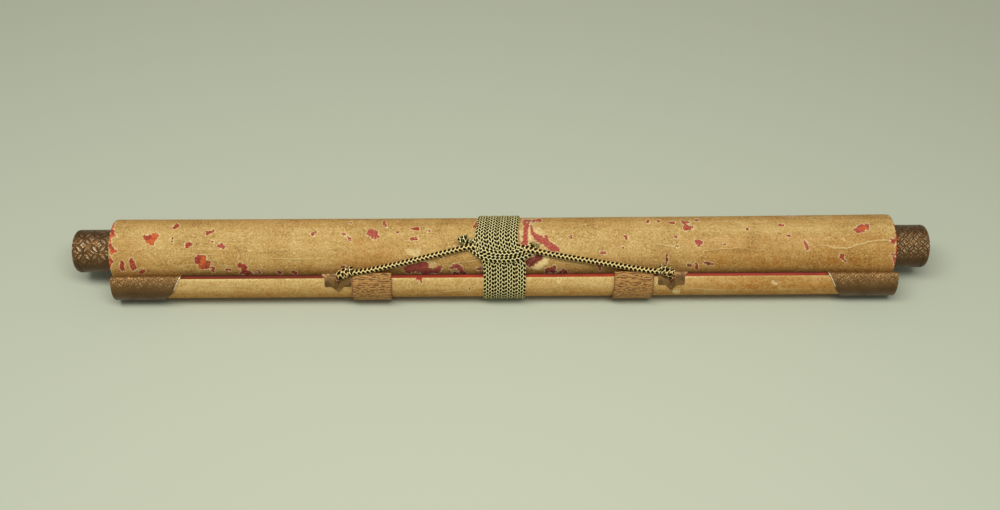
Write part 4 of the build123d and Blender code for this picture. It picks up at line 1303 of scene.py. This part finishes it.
# A helix of control points about a line: turns of a knot wound round the cord, a little uneven
def coilControls(middle, along, knot):
    side = along.cross(Vector((0, 0, 1))).normalized()
    up = side.cross(along)
    coils = knot["coils"]
    controls = []
    for step in range(coils * 8 + 1):
        spin = math.radians(45 * step + knot["firstTurn"])
        reach = knot["pitch"] * (step / 8 - coils / 2) + 0.5 * math.sin(2.3 * step)
        swell = 0.88 + 0.30 * math.sin(math.pi * step / coils / 8)
        ring = (side * math.cos(spin) + up * math.sin(spin)) * knot["coilRadius"] * swell / 0.93
        controls.append(middle + (along * reach + ring) * mm)
    return controls


endKnot = {
    "cordRadius": 1.45,
    "coilRadius": 1.85,
    "coils": 4,
    "pitch": 2.95,
    "firstTurn": 200,
    "fromAxis": 26.6,        # from the roll's axis to the knot's middle
    "left": (-113.3, (344.6, 273.3), (13.0, -5.0)),      # eye's place along X, knot's middle and run in pixels
    "right": (118.4, (666.2, 270.8), (-13.0, -5.5)),
    "eyeAngle": 132.5,
    "eyeRadius": 17.4,
}


def makeEndKnot(hand):
    eyeX, (knotX, knotY), (runX, runY) = endKnot[hand]
    eyePoint = fromAxis(eyeX, *stavePoint(endKnot["eyeAngle"], endKnot["eyeRadius"]))
    knotMiddle = pointUnder(knotX, knotY, endKnot["fromAxis"])
    along = (pointUnder(knotX + runX, knotY + runY, endKnot["fromAxis"]) - knotMiddle).normalized()
    coil = coilControls(knotMiddle, along, endKnot)
    tuck = coil[0] + (eyePoint - coil[0]) * 0.5
    controls = [eyePoint, tuck] + coil

    def outward(centre, share):
        away = centre - knotMiddle
        return (away - along * away.dot(along) * 0.9).normalized()

    size = 2 * endKnot["cordRadius"]
    cord, length, line = sweepBraid(f"{hand}EndKnot", controls, lambda share: size, lambda share: size,
                                    outward, hangingBraid, [f"{hand}_end_knot"], roundSteps=16)


wrapKnot = {
    "cordSize": 2.9,
    "flatness": 0.9,
    "flare": 0.6,            # share by which the cord widens behind this share of its length
    "flareFrom": 0.72,
    "tailFrom": 0.8,
    "coilRadius": 2.0,
    "coils": 2,
    "pitch": 2.8,
    "firstTurn": 20,
    "middle": (463.6, 240.2),            # in the photograph's pixels
    "run": (10.0, -4.5),
    "height": 3.2,
    "tail": [(470.0, 240.5, 3.0), (474.0, 241.4, 2.4), (478.0, 241.6, 2.6), (482.0, 241.4, 3.4)],
}


def makeWrapKnot():
    knotX, knotY = wrapKnot["middle"]
    runX, runY = wrapKnot["run"]
    reach = roll["radius"] + wrapKnot["height"]
    knotMiddle = pointUnder(knotX, knotY, reach)
    along = (pointUnder(knotX + runX, knotY + runY, reach) - knotMiddle).normalized()
    controls = coilControls(knotMiddle, along, wrapKnot)
    controls += [pointUnder(x, y, roll["radius"] + height) for x, y, height in wrapKnot["tail"]]

    def outward(centre, share):
        away = centre - knotMiddle
        away = (away - along * away.dot(along)).normalized()
        return radialFromRoll(centre) if share > wrapKnot["tailFrom"] else away

    def widthAt(share):
        flared = max(0.0, share - wrapKnot["flareFrom"]) / (1 - wrapKnot["flareFrom"])
        return wrapKnot["cordSize"] * (1 + wrapKnot["flare"] * flared)

    cord, length, line = sweepBraid("wrapKnotCord", controls, widthAt,
                                    lambda share: wrapKnot["cordSize"] * wrapKnot["flatness"], outward,
                                    wrapBraid, ["wrap_cord_knot"], roundSteps=16)


# Loose threads at a cut end: thin fibres that fan out over the paper, from pixel to pixel of the photograph
frayed = {
    "darkEnd": {"root": (531.2, 248.2), "tip": (530.9, 242.0), "height": 0.9,
                "fibres": 9, "spread": 1.1, "size": 0.85},
    "paleEnd": {"root": (534.6, 249.0), "tip": (537.6, 242.4), "height": 0.8,
                "fibres": 11, "spread": 3.4, "size": 0.5},
    "knotEnd": {"root": (464.6, 239.0), "tip": (467.6, 234.4), "height": 4.6,
                "fibres": 9, "spread": 1.3, "size": 0.7},
}


def makeFrayedEnd(name, surface):
    tuft = frayed[name]
    reach = roll["radius"] + tuft["height"]
    root = pointUnder(*tuft["root"], reach)
    tipX, tipY = tuft["tip"]
    bm = bmesh.new()
    for index in range(tuft["fibres"]):
        share = index / (tuft["fibres"] - 1) - 0.5
        loose = noise.noise_vector(Vector((index * 1.7, tuft["spread"], 0.4)))
        tip = pointUnder(tipX + share * 2 * tuft["spread"] + loose.x, tipY + abs(share) * 1.6 + loose.y,
                         reach + 0.5 * loose.z)
        start = root + Vector((share * tuft["spread"] * 0.5 * mm, 0, 0))
        run = tip - start
        turned = run.to_track_quat("Z", "Y").to_matrix().to_4x4()
        bmesh.ops.create_cone(bm, cap_ends=True, segments=6, radius1=tuft["size"] * 0.5 * mm, radius2=0.08 * mm,
                              depth=run.length, matrix=Matrix.Translation((start + tip) / 2) @ turned)
    bmesh.ops.recalc_face_normals(bm, faces=bm.faces)
    finishPiece(bm, name, surface)


makeHangingCord()
makeWrapCord()
makeWrapLoop()
makeEndKnot("left")
makeEndKnot("right")
makeWrapKnot()
makeFrayedEnd("darkEnd", darkThread)
makeFrayedEnd("paleEnd", paleThread)
makeFrayedEnd("knotEnd", darkThread)
print("cords made")

knobLook = {"ground": brass["knobGround"], "ridgeHighlight": brass["knobRidgeHighlight"], "depth": 0.8, "roughness": 0.36}
capLook = {"ground": brass["capGround"], "ridgeHighlight": brass["capRidgeHighlight"], "depth": 0.35, "roughness": 0.42}
knobRadius = roll["rodRadius"] + 3.5
knobPetals = {"left": (11.0, 0.10), "right": (6.4, 0.08)}     # petal size in mm and sway
capPetals = (7.0, 0.35)
for hand in ("left", "right"):
    knobMetal = makeEngraved(f"{hand}KnobMetal", knobLook, knobPetals[hand], (0.0, 0.0), knobRadius)
    capMetal = makeEngraved(f"{hand}CapMetal", capLook, capPetals, stave["centre"], stave["radius"],
                            stave[f"{hand}Edge"], stave[f"{hand}X"])
    surfaceNode(f"{hand}_roller_knob", knobMetal)
    surfaceNode(f"{hand}_stave_cap", capMetal)
    surfaceNode(f"{hand}_eye_plate", plateMetal)
    surfaceNode(f"{hand}_cord_eye", eyeMetal)
surfaceNode("roller_rod", plainWood)
surfaceNode("top_stave", plainWood)
print("metal and wood surfaces set")
